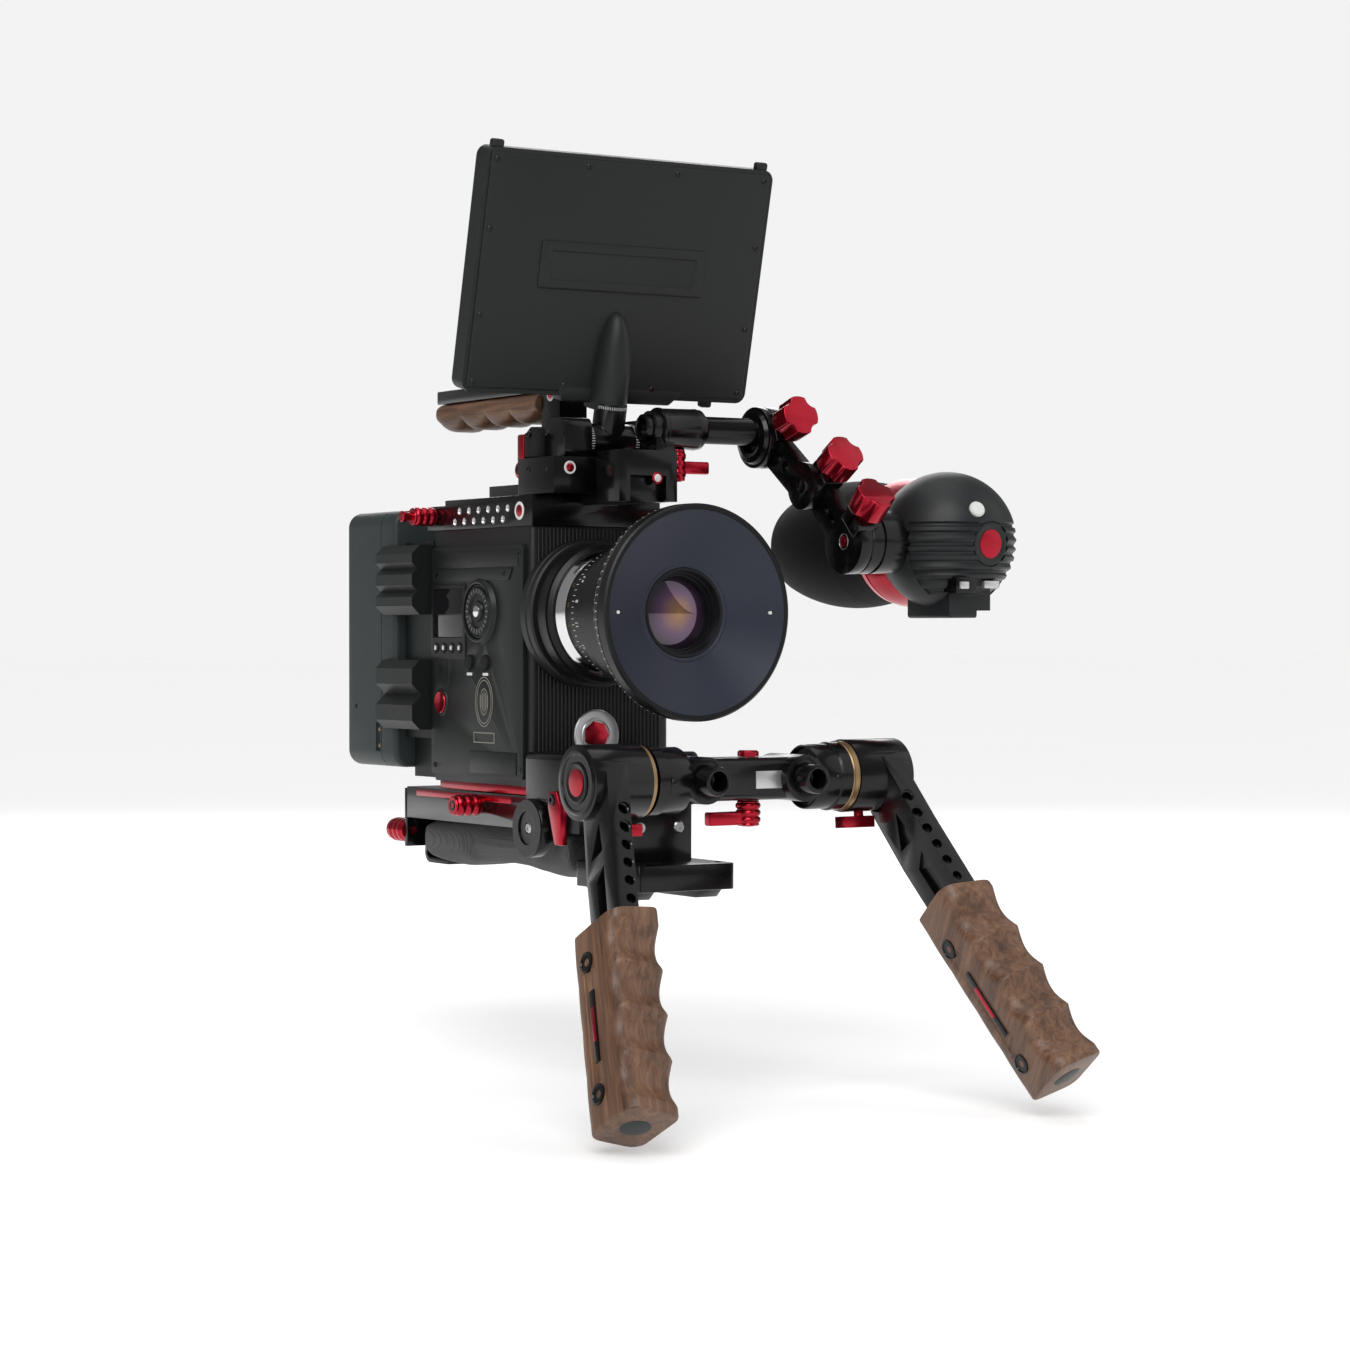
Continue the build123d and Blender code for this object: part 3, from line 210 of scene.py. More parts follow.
# %% Black and crimson anodising
def anodised(name, dark, light, roughness, metallic, scratch=0.00004):
    finish = Finish(name, roughness, metallic, coat_weight=0.25, coat_roughness=0.12)
    where = finish.place()
    cloud = finish.noise(where, 38.0, 4.0)
    lines = finish.noise(finish.place((9, 9, 900)), 3.0, 2.0)
    grain = finish.noise(where, 2600.0, 2.0)
    colour = finish.mix(cloud, dark, light)
    rough = roughness - 0.06 + 0.12 * cloud + 0.06 * lines
    return finish.surface(colour, rough, finish.bump(0.6 * lines + 0.4 * grain, scratch))


black_metal = anodised("black_anodised", (0.003, 0.003, 0.004), (0.011, 0.011, 0.012), 0.2, 0.7)
crimson_metal = anodised("crimson_anodised", (0.30, 0.002, 0.012), (0.52, 0.008, 0.03), 0.22, 0.9)
gold_metal = anodised("gold_anodised", (0.24, 0.15, 0.065), (0.36, 0.24, 0.12), 0.36, 0.85)
steel = anodised("bright_steel", (0.42, 0.42, 0.43), (0.62, 0.62, 0.62), 0.25, 1.0)
chrome = anodised("polished_chrome", (0.70, 0.70, 0.71), (0.82, 0.82, 0.82), 0.1, 1.0, 0.00001)
silver = anodised("silver_plate", (0.5, 0.5, 0.51), (0.64, 0.64, 0.65), 0.34, 0.85)


# %% [markdown]
# The camera case, the monitor shell and the viewfinder are painted or moulded with a fine
# dry texture. Two sizes of noise give it: small pits for the bump and a broad cloud that
# makes the sheen uneven, as handling does.

# %% Textured paint and moulded plastic
def textured(name, dark, light, roughness, pit=0.00012, size=1500.0, metallic=0.0, specular=0.5):
    finish = Finish(name, roughness, metallic)
    finish.shader.inputs["Specular IOR Level"].default_value = specular
    where = finish.place()
    cloud = finish.noise(where, 24.0, 5.0)
    pits = finish.noise(where, size, 3.0, 0.7)
    colour = finish.mix(0.7 * cloud + 0.3 * pits, dark, light)
    rough = roughness - 0.08 + 0.16 * cloud
    return finish.surface(colour, rough, finish.bump(pits, pit))


case_black = textured("case_black", (0.005, 0.005, 0.006), (0.011, 0.011, 0.012), 0.42, specular=0.32)
panel_black = textured("panel_black", (0.005, 0.006, 0.006), (0.011, 0.012, 0.012), 0.4, 0.00006,
                       specular=0.3)
shell_black = textured("shell_black", (0.006, 0.007, 0.007), (0.012, 0.013, 0.013), 0.46, 0.00006,
                       specular=0.3)
ball_black = textured("ball_black", (0.006, 0.007, 0.008), (0.014, 0.015, 0.016), 0.42, 0.00008, 1100.0,
                      specular=0.32)
battery_grey = textured("battery_grey", (0.019, 0.026, 0.026), (0.029, 0.037, 0.036), 0.46, 0.0001,
                        900.0, specular=0.28)
rubber = textured("soft_rubber", (0.005, 0.005, 0.005), (0.014, 0.014, 0.014), 0.72, 0.00015, 700.0, 0,
                  0.22)
lens_black = textured("lens_black", (0.004, 0.004, 0.005), (0.010, 0.010, 0.011), 0.3, 0.00005, 1800.0,
                      0.3, 0.32)
white_key = textured("white_key", (0.55, 0.55, 0.53), (0.72, 0.72, 0.70), 0.35, 0.00004)
paint_white = textured("white_marking", (0.55, 0.55, 0.53), (0.75, 0.75, 0.72), 0.5, 0.00002)
engraving = textured("pale_engraving", (0.16, 0.155, 0.13), (0.24, 0.23, 0.20), 0.5, 0.00002)
screen_black = textured("screen_black", (0.004, 0.004, 0.005), (0.008, 0.008, 0.009), 0.08, 0.000004, 60.0)
board_green = textured("board_green", (0.01, 0.06, 0.03), (0.02, 0.12, 0.05), 0.4)


# %% [markdown]
# The handles are oiled walnut. Wood grain is long streaks along the piece, so the noise is
# stretched along the grain, and narrow dark pores are a second noise stretched further.

# %% Walnut
def walnut_grain(name, turn):
    """Walnut whose grain runs along Z before it is turned."""
    finish = Finish(name, 0.45, 0.0, coat_weight=0.12, coat_roughness=0.3)
    rings = finish.noise(finish.along_grain(turn, 14.0), 330.0, 4.0, 0.55, 0.6)
    broad = finish.noise(finish.along_grain(turn, 7.0), 75.0, 3.0, 0.5, 0.8)
    pores = finish.noise(finish.along_grain(turn, 30.0), 1500.0, 2.0, 0.6)
    dark_pore = pores.above(0.66)
    wood = finish.ramp(0.62 * rings + 0.38 * broad,
                       (0.30, (0.040, 0.016, 0.008)), (0.45, (0.095, 0.042, 0.020)),
                       (0.56, (0.150, 0.072, 0.036)), (0.72, (0.225, 0.118, 0.064)))
    colour = finish.mix(0.55 * dark_pore, wood, (0.022, 0.009, 0.005))
    rough = 0.4 + 0.16 * rings + 0.1 * dark_pore
    return finish.surface(colour, rough, finish.bump(rings - 0.8 * dark_pore, 0.00015))


# %% [markdown]
# The wide cone in front of the lens is painted blue-grey and turned on a lathe, so it
# carries very fine rings round the lens axis. The distance from that axis makes the rings.

# %% Turned cone and coated glass
def turned_paint(name, centre, dark, light):
    finish = Finish(name, 0.42, 0.2)
    where = finish.place((1, 0, 1), (0, 0, 0), centre)
    radius = finish.add("ShaderNodeVectorMath", {"operation": "LENGTH"}, {0: where}, out="Value")
    rings = (radius * 9000.0).sine()
    cloud = finish.noise(finish.place(), 20.0, 4.0)
    colour = finish.mix(0.8 * cloud + 0.08 * rings, dark, light)
    return finish.surface(colour, 0.36 + 0.14 * cloud, finish.bump(rings, 0.00001))


def coated_glass(name, edge, middle, centre, reach):
    """Dark coated glass whose tint changes from its middle to its edge."""
    finish = Finish(name, 0.04, 0.6, coat_weight=1.0, coat_roughness=0.02)
    where = finish.place((1 / reach, 0, 1 / reach), (0, 0, 0), centre)
    radius = finish.add("ShaderNodeVectorMath", {"operation": "LENGTH"}, {0: where}, out="Value")
    smear = finish.noise(finish.place(), 60.0, 2.0)
    colour = finish.ramp(radius + 0.25 * smear - 0.12, (0.0, middle), (0.55, edge),
                         (1.0, (0.01, 0.008, 0.015)))
    return finish.surface(colour, 0.03 + 0.03 * smear)


# %% [markdown]
# The shoulder pad is woven nylon. Two sine waves at right angles give its threads.

# %% Woven pad cloth
def woven(name, dark, light, pitch=0.0012):
    finish = Finish(name, 0.85, 0.0, sheen_weight=0.25, sheen_roughness=0.5)
    turn = math.tau / pitch
    where = finish.place()
    parts = finish.add("ShaderNodeSeparateXYZ", {}, {0: where})
    across = Value(finish, parts.socket.node.outputs["X"])
    along = Value(finish, parts.socket.node.outputs["Y"])
    threads = (across * turn).sine() * (along * turn).sine()
    fuzz = finish.noise(where, 500.0, 4.0)
    colour = finish.mix(0.5 * fuzz + 0.25 + 0.2 * threads, dark, light)
    return finish.surface(colour, 0.78 + 0.16 * fuzz, finish.bump(threads + fuzz, 0.00025))


pad_cloth = woven("pad_cloth", (0.006, 0.006, 0.007), (0.03, 0.03, 0.032))
print("finishes:", len(bpy.data.materials))


# %% [markdown]
# ## Tools for making pieces
# Five small tools cover the rig: a block with eased edges, a turned piece, a flat piece cut
# to an outline, a copy of a machined node with its edges broken, and a cut.

# %% Start and finish a piece
def only(*pieces):
    """Select just these pieces, the last one active."""
    bpy.ops.object.select_all(action="DESELECT")
    for piece in pieces:
        piece.select_set(True)
        bpy.context.view_layer.objects.active = piece


def named(name):
    """Name the active object and put its place into its mesh."""
    piece = bpy.context.object
    piece.name = name
    piece.data.name = name
    only(piece)
    bpy.ops.object.transform_apply(location=True, rotation=True, scale=True)
    return piece


def smoothed(piece, angle=32):
    only(piece)
    bpy.ops.object.shade_smooth_by_angle(angle=math.radians(angle))
    return piece


def modified(piece, kind, **settings):
    """Give the piece one modifier and apply it."""
    modifier = piece.modifiers.new(kind, kind)
    for name, value in settings.items():
        setattr(modifier, name, value)
    only(piece)
    bpy.ops.object.modifier_apply(modifier=modifier.name)
    return piece


def eased(piece, width, segments=2, angle=35):
    modified(piece, "BEVEL", width=width, segments=segments, limit_method="ANGLE",
             angle_limit=math.radians(angle), use_clamp_overlap=True, harden_normals=False)
    return smoothed(piece)


# %% Block, turned piece and outline
def block(name, low, high, edge=0.5 * MM, segments=2):
    """Block between two corners with eased edges."""
    low, high = Vector(low), Vector(high)
    bpy.ops.object.select_all(action="DESELECT")
    bpy.ops.mesh.primitive_cube_add(size=1, location=(low + high) / 2, scale=high - low)
    return eased(named(name), edge, segments)


def chain(points):
    """A new mesh of one line through the points, left in edit mode and all selected."""
    bpy.ops.object.select_all(action="DESELECT")
    bpy.ops.mesh.primitive_plane_add(size=MM, location=(0, 0, 0))
    bpy.ops.object.mode_set(mode="EDIT")
    bpy.ops.mesh.merge(type="CENTER")
    bpy.ops.transform.translate(value=points[0])
    for before, after in zip(points, points[1:]):
        bpy.ops.mesh.extrude_vertices_move(TRANSFORM_OT_translate={"value": after - before})
    bpy.ops.mesh.select_all(action="SELECT")


def turned(name, profile, centre, axis=Y, steps=96, smooth=32):
    """Spin a closed half section of (radius, place along the axis) pairs round the axis."""
    out = X if abs(axis.x) < 0.9 else Y
    out = (out - axis * out.dot(axis)).normalized()
    centre = Vector(centre)
    points = [centre + out * r + axis * t for r, t in profile]
    if (profile[0][0] > 0 or profile[-1][0] > 0) and profile[0] != profile[-1]:
        points.append(points[0])
    chain(points)
    bpy.ops.mesh.spin(steps=steps, angle=math.tau, center=centre, axis=axis)
    bpy.ops.mesh.select_all(action="SELECT")
    bpy.ops.mesh.remove_doubles(threshold=0.000001)
    bpy.ops.mesh.normals_make_consistent(inside=False)
    bpy.ops.object.mode_set(mode="OBJECT")
    return smoothed(named(name), smooth)


def cut_flat(name, outline, push, edge=0.4 * MM, segments=2):
    """Fill a closed outline and push it into a flat piece."""
    chain(outline)
    bpy.ops.mesh.edge_face_add()
    bpy.ops.mesh.select_all(action="SELECT")
    bpy.ops.mesh.extrude_region_move(TRANSFORM_OT_translate={"value": push})
    bpy.ops.mesh.select_all(action="SELECT")
    bpy.ops.mesh.normals_make_consistent(inside=False)
    bpy.ops.object.mode_set(mode="OBJECT")
    return eased(named(name), edge, segments) if edge else smoothed(named(name))


# %% Push a section along a path of steps
def pushed(name, section, stations, hinge, pose, edge):
    """Fill a section in X and Y, push it up through (height, share) stations, and pose it.

    At each station the section keeps its line at Y = hinge, and the rest is squeezed
    towards that line by the share."""
    first_height, first_share = stations[0]
    chain([Vector((x, hinge + (y - hinge) * first_share, first_height)) for x, y in section])
    bpy.ops.mesh.edge_face_add()
    bpy.ops.mesh.select_all(action="SELECT")
    for (height, share), (higher, next_share) in zip(stations, stations[1:]):
        bpy.ops.mesh.extrude_region_move(TRANSFORM_OT_translate={"value": (0, 0, higher - height)})
        bpy.ops.transform.resize(value=(1, next_share / share, 1), orient_type="GLOBAL",
                                 center_override=(0, hinge, higher))
    bpy.ops.mesh.select_all(action="SELECT")
    bpy.ops.mesh.normals_make_consistent(inside=False)
    bpy.ops.object.mode_set(mode="OBJECT")
    piece = named(name)
    piece.data.transform(pose)
    return eased(piece, edge, 3, 55)


def rounded_section(half_x, half_y, radius, steps=5):
    """Corners of a rectangle rounded by arcs, anticlockwise."""
    points = []
    for corner, (sx, sy) in enumerate(((1, 1), (-1, 1), (-1, -1), (1, -1))):
        for i in range(steps + 1):
            angle = math.radians(90 * (corner + i / steps))
            points.append((sx * (half_x - radius) + radius * math.cos(angle),
                           sy * (half_y - radius) + radius * math.sin(angle)))
    return points


# %% Copy, cut and join
def from_node(name, *nodes, edge=0.5 * MM, segments=2, angle=35):
    """Copy machined nodes, merge their loose triangles and break their edges."""
    copies = []
    for node in nodes:
        copy = frame["nodes"][node].copy()
        copy.data = copy.data.copy()
        copy.parent = None
        for key in list(copy.keys()):
            del copy[key]
        copy.data.materials.clear()
        bpy.context.scene.collection.objects.link(copy)
        copies.append(copy)
    only(*copies)
    if len(copies) > 1:
        bpy.ops.object.join()
    piece = bpy.context.object
    piece.name = name
    piece.data.name = name
    bpy.ops.object.mode_set(mode="EDIT")
    bpy.ops.mesh.select_all(action="SELECT")
    bpy.ops.mesh.customdata_custom_splitnormals_clear()
    bpy.ops.mesh.remove_doubles(threshold=0.000002)
    bpy.ops.mesh.dissolve_limited(angle_limit=math.radians(1.0))
    bpy.ops.object.mode_set(mode="OBJECT")
    return eased(piece, edge, segments, angle) if edge else smoothed(piece)


def cut(piece, *cutters):
    """Take the cutters away from the piece."""
    tool = joined("cutter", *cutters)
    modified(piece, "BOOLEAN", operation="DIFFERENCE", object=tool, solver="EXACT")
    bpy.data.objects.remove(tool)
    return smoothed(piece)


def sliced(piece, point, normal):
    """Cut a closed piece by a plane, drop what lies ahead of the normal and cap it."""
    only(piece)
    bpy.ops.object.mode_set(mode="EDIT")
    bpy.ops.mesh.select_all(action="SELECT")
    bpy.ops.mesh.bisect(plane_co=point, plane_no=normal, use_fill=True, clear_outer=True)
    bpy.ops.object.mode_set(mode="OBJECT")
    return smoothed(piece)


def joined(name, *pieces):
    only(*pieces)
    if len(pieces) > 1:
        bpy.ops.object.join()
    piece = bpy.context.object
    piece.name = name
    piece.data.name = name
    return piece


def copied(piece, name, move):
    """The same piece somewhere else, with a mesh of its own."""
    twin = piece.copy()
    twin.data = piece.data.copy()
    twin.name = name
    bpy.context.scene.collection.objects.link(twin)
    twin.data.transform(move if isinstance(move, Matrix) else Matrix.Translation(move))
    return twin


def ribbed(piece, axis, centre, inner, outer, depth, every=2, span=None):
    """Push every second strip of outward faces on a turned piece out into a rib."""
    centre = Vector(centre)
    ref = X if abs(axis.x) < 0.9 else Y
    side = axis.cross(ref).normalized()
    ref = side.cross(axis)
    columns = {}
    for face in piece.data.polygons:
        arm = face.center - centre
        place = arm.dot(axis)
        flat = arm - axis * place
        outward = flat.length > 0 and face.normal.dot(flat.normalized()) > 0.7
        inside = span is None or span[0] < place < span[1]
        if outward and inner < flat.length < outer and inside:
            angle = math.atan2(flat.dot(side), flat.dot(ref)) % math.tau
            columns.setdefault(round(angle, 3), []).append(face.index)
    chosen = [f for i, key in enumerate(sorted(columns)) if i % every == 0 for f in columns[key]]
    only(piece)
    bpy.ops.object.mode_set(mode="EDIT")
    bpy.ops.mesh.select_all(action="DESELECT")
    bpy.ops.object.mode_set(mode="OBJECT")
    for index in chosen:
        piece.data.polygons[index].select = True
    bpy.ops.object.mode_set(mode="EDIT")
    bpy.ops.mesh.select_mode(type="FACE")
    bpy.ops.mesh.extrude_region_shrink_fatten(TRANSFORM_OT_shrink_fatten={"value": depth})
    bpy.ops.mesh.select_mode(type="VERT")
    bpy.ops.object.mode_set(mode="OBJECT")
    return smoothed(piece)


# %% Hand a piece over
def ready(piece, material, body, slot, *nodes):
    """Give the piece its finish and its body, and hide the nodes it stands for; the slot is not used."""
    piece.data.materials.clear()
    piece.data.materials.append(material)
    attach(piece, body)
    if nodes:
        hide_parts(*nodes)
    return piece


def node_box(node):
    low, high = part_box(node)
    return low, high, (low + high) / 2


# %% [markdown]
# ## The lens
# A cine lens is a stack of turned rings round one tube, so every ring is a half section
# spun round the lens axis. Gear teeth and grip ribs are strips of the ring's own faces
# pushed outwards, which keeps each ring one closed piece.

# %% Lens axis and mount
lens_axis = node_box("lens_lock_ring")[2]
axis_point = Vector((lens_axis.x, 0, lens_axis.z))


def lens_ring(name, profile, steps=96, smooth=32):
    return turned(name, profile, axis_point, Y, steps, smooth)


low, high, _ = node_box("lens_mount")
mount_r = (high.x - low.x) / 2
mount = lens_ring("mount_flange", [
    (0.027, high.y), (0.027, low.y), (mount_r - 5 * MM, low.y), (mount_r - 4 * MM, low.y + 1 * MM),
    (mount_r - 1 * MM, low.y + 1 * MM), (mount_r, low.y + 2 * MM), (mount_r, low.y + 6 * MM),
    (mount_r - 1 * MM, low.y + 6.6 * MM), (mount_r - 1 * MM, low.y + 7.4 * MM),
    (mount_r, low.y + 8 * MM), (mount_r, high.y)])
ready(mount, case_black, "camera", "body_black", "lens_mount")

# %% Locking ring with grip ribs
low, high, _ = node_box("lens_lock_ring")
lock_r = (high.x - low.x) / 2
lock = lens_ring("locking_ring", [
    (0.0301, high.y), (0.0301, low.y), (lock_r - 4 * MM, low.y), (lock_r - 2.2 * MM, low.y + 1.6 * MM),
    (lock_r - 1.6 * MM, low.y + 2 * MM), (lock_r - 1.6 * MM, high.y - 1.6 * MM),
    (lock_r - 2.6 * MM, high.y)], 180)
ribbed(lock, Y, axis_point, lock_r - 2 * MM, lock_r - 1.2 * MM, 1.2 * MM)
ready(lock, lens_black, "lock_ring", "lens_black", "lens_lock_ring")

# %% Bright collar and lens tube
low, high, _ = node_box("lens_barrel")
tube_r = 0.030
collar_r = (high.x - low.x) / 2
collar_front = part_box("iris_ring")[1].y + 0.3 * MM
collar_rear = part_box("lens_lock_ring")[0].y - 0.3 * MM
lens_tube = lens_ring("lens_tube", [
    (0.026, high.y), (0.026, low.y), (tube_r, low.y), (tube_r, collar_front),
    (collar_r - 2 * MM, collar_front), (collar_r - 2 * MM, collar_front + 1.2 * MM),
    (collar_r - 1.6 * MM, collar_rear), (tube_r, collar_rear), (tube_r, high.y)])
ready(lens_tube, lens_black, "camera", "chrome", "lens_barrel")
bright_ring = lens_ring("bright_ring", [
    (collar_r - 2.2 * MM, collar_rear - 7 * MM), (collar_r - 0.8 * MM, collar_rear - 7 * MM),
    (collar_r, collar_rear - 6 * MM), (collar_r + 1.6 * MM, collar_rear - 1 * MM),
    (collar_r + 1.2 * MM, collar_rear), (collar_r - 2.2 * MM, collar_rear)], 128)
ready(bright_ring, chrome, "camera", "chrome")
scale_ring = lens_ring("scale_ring", [
    (collar_r - 2.2 * MM, collar_front + 0.6 * MM), (collar_r - 0.6 * MM, collar_front + 0.6 * MM),
    (collar_r, collar_front + 1.2 * MM), (collar_r, collar_rear - 8.4 * MM),
    (collar_r - 0.5 * MM, collar_rear - 7.8 * MM), (collar_r - 2.2 * MM, collar_rear - 7.8 * MM)], 128)
ready(scale_ring, lens_black, "camera", "lens_black")
print("collar", round(collar_front, 4), round(collar_rear, 4))

# %% Iris and focus rings with gear teeth
low, high, _ = node_box("iris_ring")
iris_tip = (high.x - low.x) / 2
iris_mid = (low.y + high.y) / 2
iris = lens_ring("iris_band", [
    (0.0301, high.y), (0.0301, low.y), (iris_tip - 2.6 * MM, low.y), (iris_tip - 2 * MM, low.y + 0.6 * MM),
    (iris_tip - 2 * MM, iris_mid - 3 * MM), (iris_tip - 2.6 * MM, iris_mid - 2.6 * MM),
    (iris_tip - 4.4 * MM, iris_mid), (iris_tip - 4 * MM, iris_mid + 0.6 * MM),
    (iris_tip - 4 * MM, high.y - 0.8 * MM), (iris_tip - 4.8 * MM, high.y)], 200)
ribbed(iris, Y, axis_point, iris_tip - 2.3 * MM, iris_tip - 1.7 * MM, 1.9 * MM)
ready(iris, lens_black, "iris_ring", "lens_black", "iris_ring")

low, high, _ = node_box("focus_ring")
focus_front_r = (high.x - low.x) / 2
focus_r = focus_front_r - 7 * MM
focus_mid = (low.y + high.y) / 2
focus = lens_ring("focus_band", [
    (0.0301, high.y), (0.0301, low.y), (focus_front_r - 0.8 * MM, low.y),
    (focus_front_r, low.y + 0.8 * MM), (focus_front_r - 0.4 * MM, low.y + 3 * MM),
    (focus_r + 0.6 * MM, focus_mid - 0.6 * MM), (focus_r - 2 * MM, focus_mid),
    (focus_r - 2 * MM, high.y - 3 * MM), (focus_r - 2.6 * MM, high.y - 2.4 * MM),
    (focus_r - 2.8 * MM, high.y - 0.8 * MM), (focus_r - 3.6 * MM, high.y)], 216)
ribbed(focus, Y, axis_point, focus_r - 2.3 * MM, focus_r - 1.7 * MM, 1.9 * MM)
ready(focus, lens_black, "focus_ring", "lens_black", "focus_ring")

# %% [markdown]
# The scales are real pieces too: each numeral and tick starts flat, is made a mesh and is
# then wrapped round its ring by turning its width into an angle.

# %% Numerals and ticks wrapped round a ring
def wrapped(name, flat, radius_at, middle):
    """Wrap a flat mesh, x across and y along the lens, round the lens axis at an angle."""
    for vertex in flat.data.vertices:
        x, y, lift = vertex.co
        radius = radius_at(y)
        angle = middle + x / radius
        out = radius + lift
        vertex.co = axis_point + Vector((-out * math.sin(angle), y, out * math.cos(angle)))
    flat.name = name
    return flat


def numeral(text, size, place):
    bpy.ops.object.select_all(action="DESELECT")
    bpy.ops.object.text_add(location=(0, 0, 0))
    words = bpy.context.object
    words.data.body = text
    words.data.size = size
    words.data.align_x = "CENTER"
    words.data.extrude = 0.06 * MM
    words.data.resolution_u = 2
    only(words)
    bpy.ops.object.convert(target="MESH")
    words = bpy.context.object
    words.data.transform(Matrix.Translation((0, place, 0.05 * MM)))
    return words


def tick(width, length, place):
    bpy.ops.object.select_all(action="DESELECT")
    bpy.ops.mesh.primitive_cube_add(size=1, location=(0, place, 0.03 * MM),
                                    scale=(width, length, 0.12 * MM))
    return named("tick")


def scale_marks(name, radius_at, rows, body, material):
    """Rows of (texts or None, count, start and step in degrees, size, place along the lens).

    Each text or tick is made once, and its copies are wrapped at their own angles."""
    marks = []
    for texts, count, start, step, size, place in rows:
        models = [numeral(text, size, place) for text in texts] if texts else [tick(0.28 * MM, size, place)]
        for i in range(count):
            flat = copied(models[i % len(models)], "mark", (0, 0, 0))
            marks.append(wrapped("mark", flat, radius_at, math.radians(start + i * step)))
        for model in models:
            bpy.data.objects.remove(model)
    ready(joined(name, *marks), material, body, "white_key")


distances = ["2", "3", "4", "5", "6", "7", "8", "9", "10", "12", "14", "16", "20", "30"]
stops = ["2", "2.8", "4", "5.6", "8", "11", "16", "22"]


focus_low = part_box("focus_ring")[0].y


def cone_radius(y):
    """Radius of the focus band's tapered half at a place along the lens."""
    share = (y - focus_low - 3 * MM) / (focus_mid - focus_low - 3.6 * MM)
    return focus_front_r - 0.3 * MM - share * 6.0 * MM


scale_marks("focus_scale", cone_radius, [
    (distances, 28, -170, 12, 3.6 * MM, focus_low + 7.4 * MM),
    (None, 112, -171, 3, 1.4 * MM, focus_low + 5.2 * MM),
    (distances, 28, -164, 12, 2.4 * MM, focus_low + 11.2 * MM)], "focus_ring", paint_white)
iris_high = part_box("iris_ring")[1].y
scale_marks("iris_scale", lambda y: iris_tip - 4 * MM, [
    (stops, 16, -160, 20, 3.6 * MM, iris_high - 9 * MM),
    (None, 64, -160, 5, 2.0 * MM, iris_high - 4 * MM)], "iris_ring", paint_white)
scale_marks("fixed_scale", lambda y: collar_r, [
    (None, 90, -180, 4, 2.2 * MM, collar_front + 3.4 * MM),
    (distances, 18, -178, 20, 2.6 * MM, collar_front + 5.6 * MM)], "camera", gold_metal)

# %% Front cone, rim and glass
low, high, _ = node_box("front_barrel")
front_r = (high.x - low.x) / 2
tube_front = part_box("focus_ring")[0].y - 0.3 * MM
dish_paint = turned_paint("cone_paint", axis_point, (0.008, 0.010, 0.022), (0.017, 0.021, 0.041))
rim = lens_ring("front_rim", [
    (front_r - 3 * MM, low.y), (front_r - 0.9 * MM, low.y), (front_r, low.y + 0.9 * MM),
    (front_r, low.y + 7 * MM), (front_r - 0.5 * MM, low.y + 7.5 * MM), (front_r, low.y + 8 * MM),
    (front_r - 0.2 * MM, low.y + 10 * MM), (focus_front_r + 1.4 * MM, tube_front),
    (0.0259, tube_front), (0.0259, high.y), (0.0236, high.y), (0.0236, tube_front - 2 * MM),
    (front_r - 6 * MM, low.y + 5 * MM)], 160)
ready(rim, lens_black, "camera", "lens_black", "front_barrel")
barrel_low = low.y
barrel_run = tube_front - barrel_low - 10 * MM


def barrel_radius(y):
    """Radius of the front barrel's outside at a place along the lens."""
    share = max(0.0, (y - barrel_low - 10 * MM) / barrel_run)
    return front_r - 0.1 * MM - share * (front_r - 0.2 * MM - focus_front_r - 1.4 * MM)


scale_marks("front_scale", barrel_radius, [
    (distances, 42, -174, 8.5, 3.4 * MM, barrel_low + 10.6 * MM),
    (None, 84, -174, 4.25, 1.6 * MM, barrel_low + 8.8 * MM),
    (distances, 42, -170, 8.5, 2.2 * MM, barrel_low + 14.6 * MM)], "camera", paint_white)
cone = lens_ring("front_cone", [
    (front_r - 3 * MM, low.y + 0.2 * MM), (front_r - 3.6 * MM, low.y + 0.6 * MM),
    (0.0262, tube_front - 4.6 * MM),
    (0.0252, tube_front - 4.9 * MM), (0.0238, tube_front - 4.2 * MM), (0.0238, tube_front - 3 * MM),
    (front_r - 5 * MM, low.y + 4 * MM)], 160, 20)
ready(cone, dish_paint, "camera", "dish_blue")
throat = lens_ring("glass_retainer", [
    (0.0235, tube_front - 4.4 * MM), (0.0222, tube_front - 4.4 * MM), (0.0212, tube_front - 1 * MM),
    (0.0206, tube_front - 1 * MM), (0.0200, tube_front + 2 * MM), (0.0194, tube_front + 2 * MM),
    (0.0190, tube_front + 5 * MM), (0.0235, tube_front + 5 * MM)], 96, 20)
ready(throat, lens_black, "camera", "lens_black")
front_tint = coated_glass("front_coating", (0.10, 0.045, 0.10), (0.34, 0.17, 0.055), axis_point, 0.0195)


def dome(name, radius, bulge, place, thick, rings=10):
    """Glass disc with a domed front that faces -Y."""
    curve = [(radius * i / rings, place - bulge * (1 - (i / rings) ** 2)) for i in range(rings + 1)]
    return lens_ring(name, curve + [(radius, place + thick), (0, place + thick)], 64, 40)


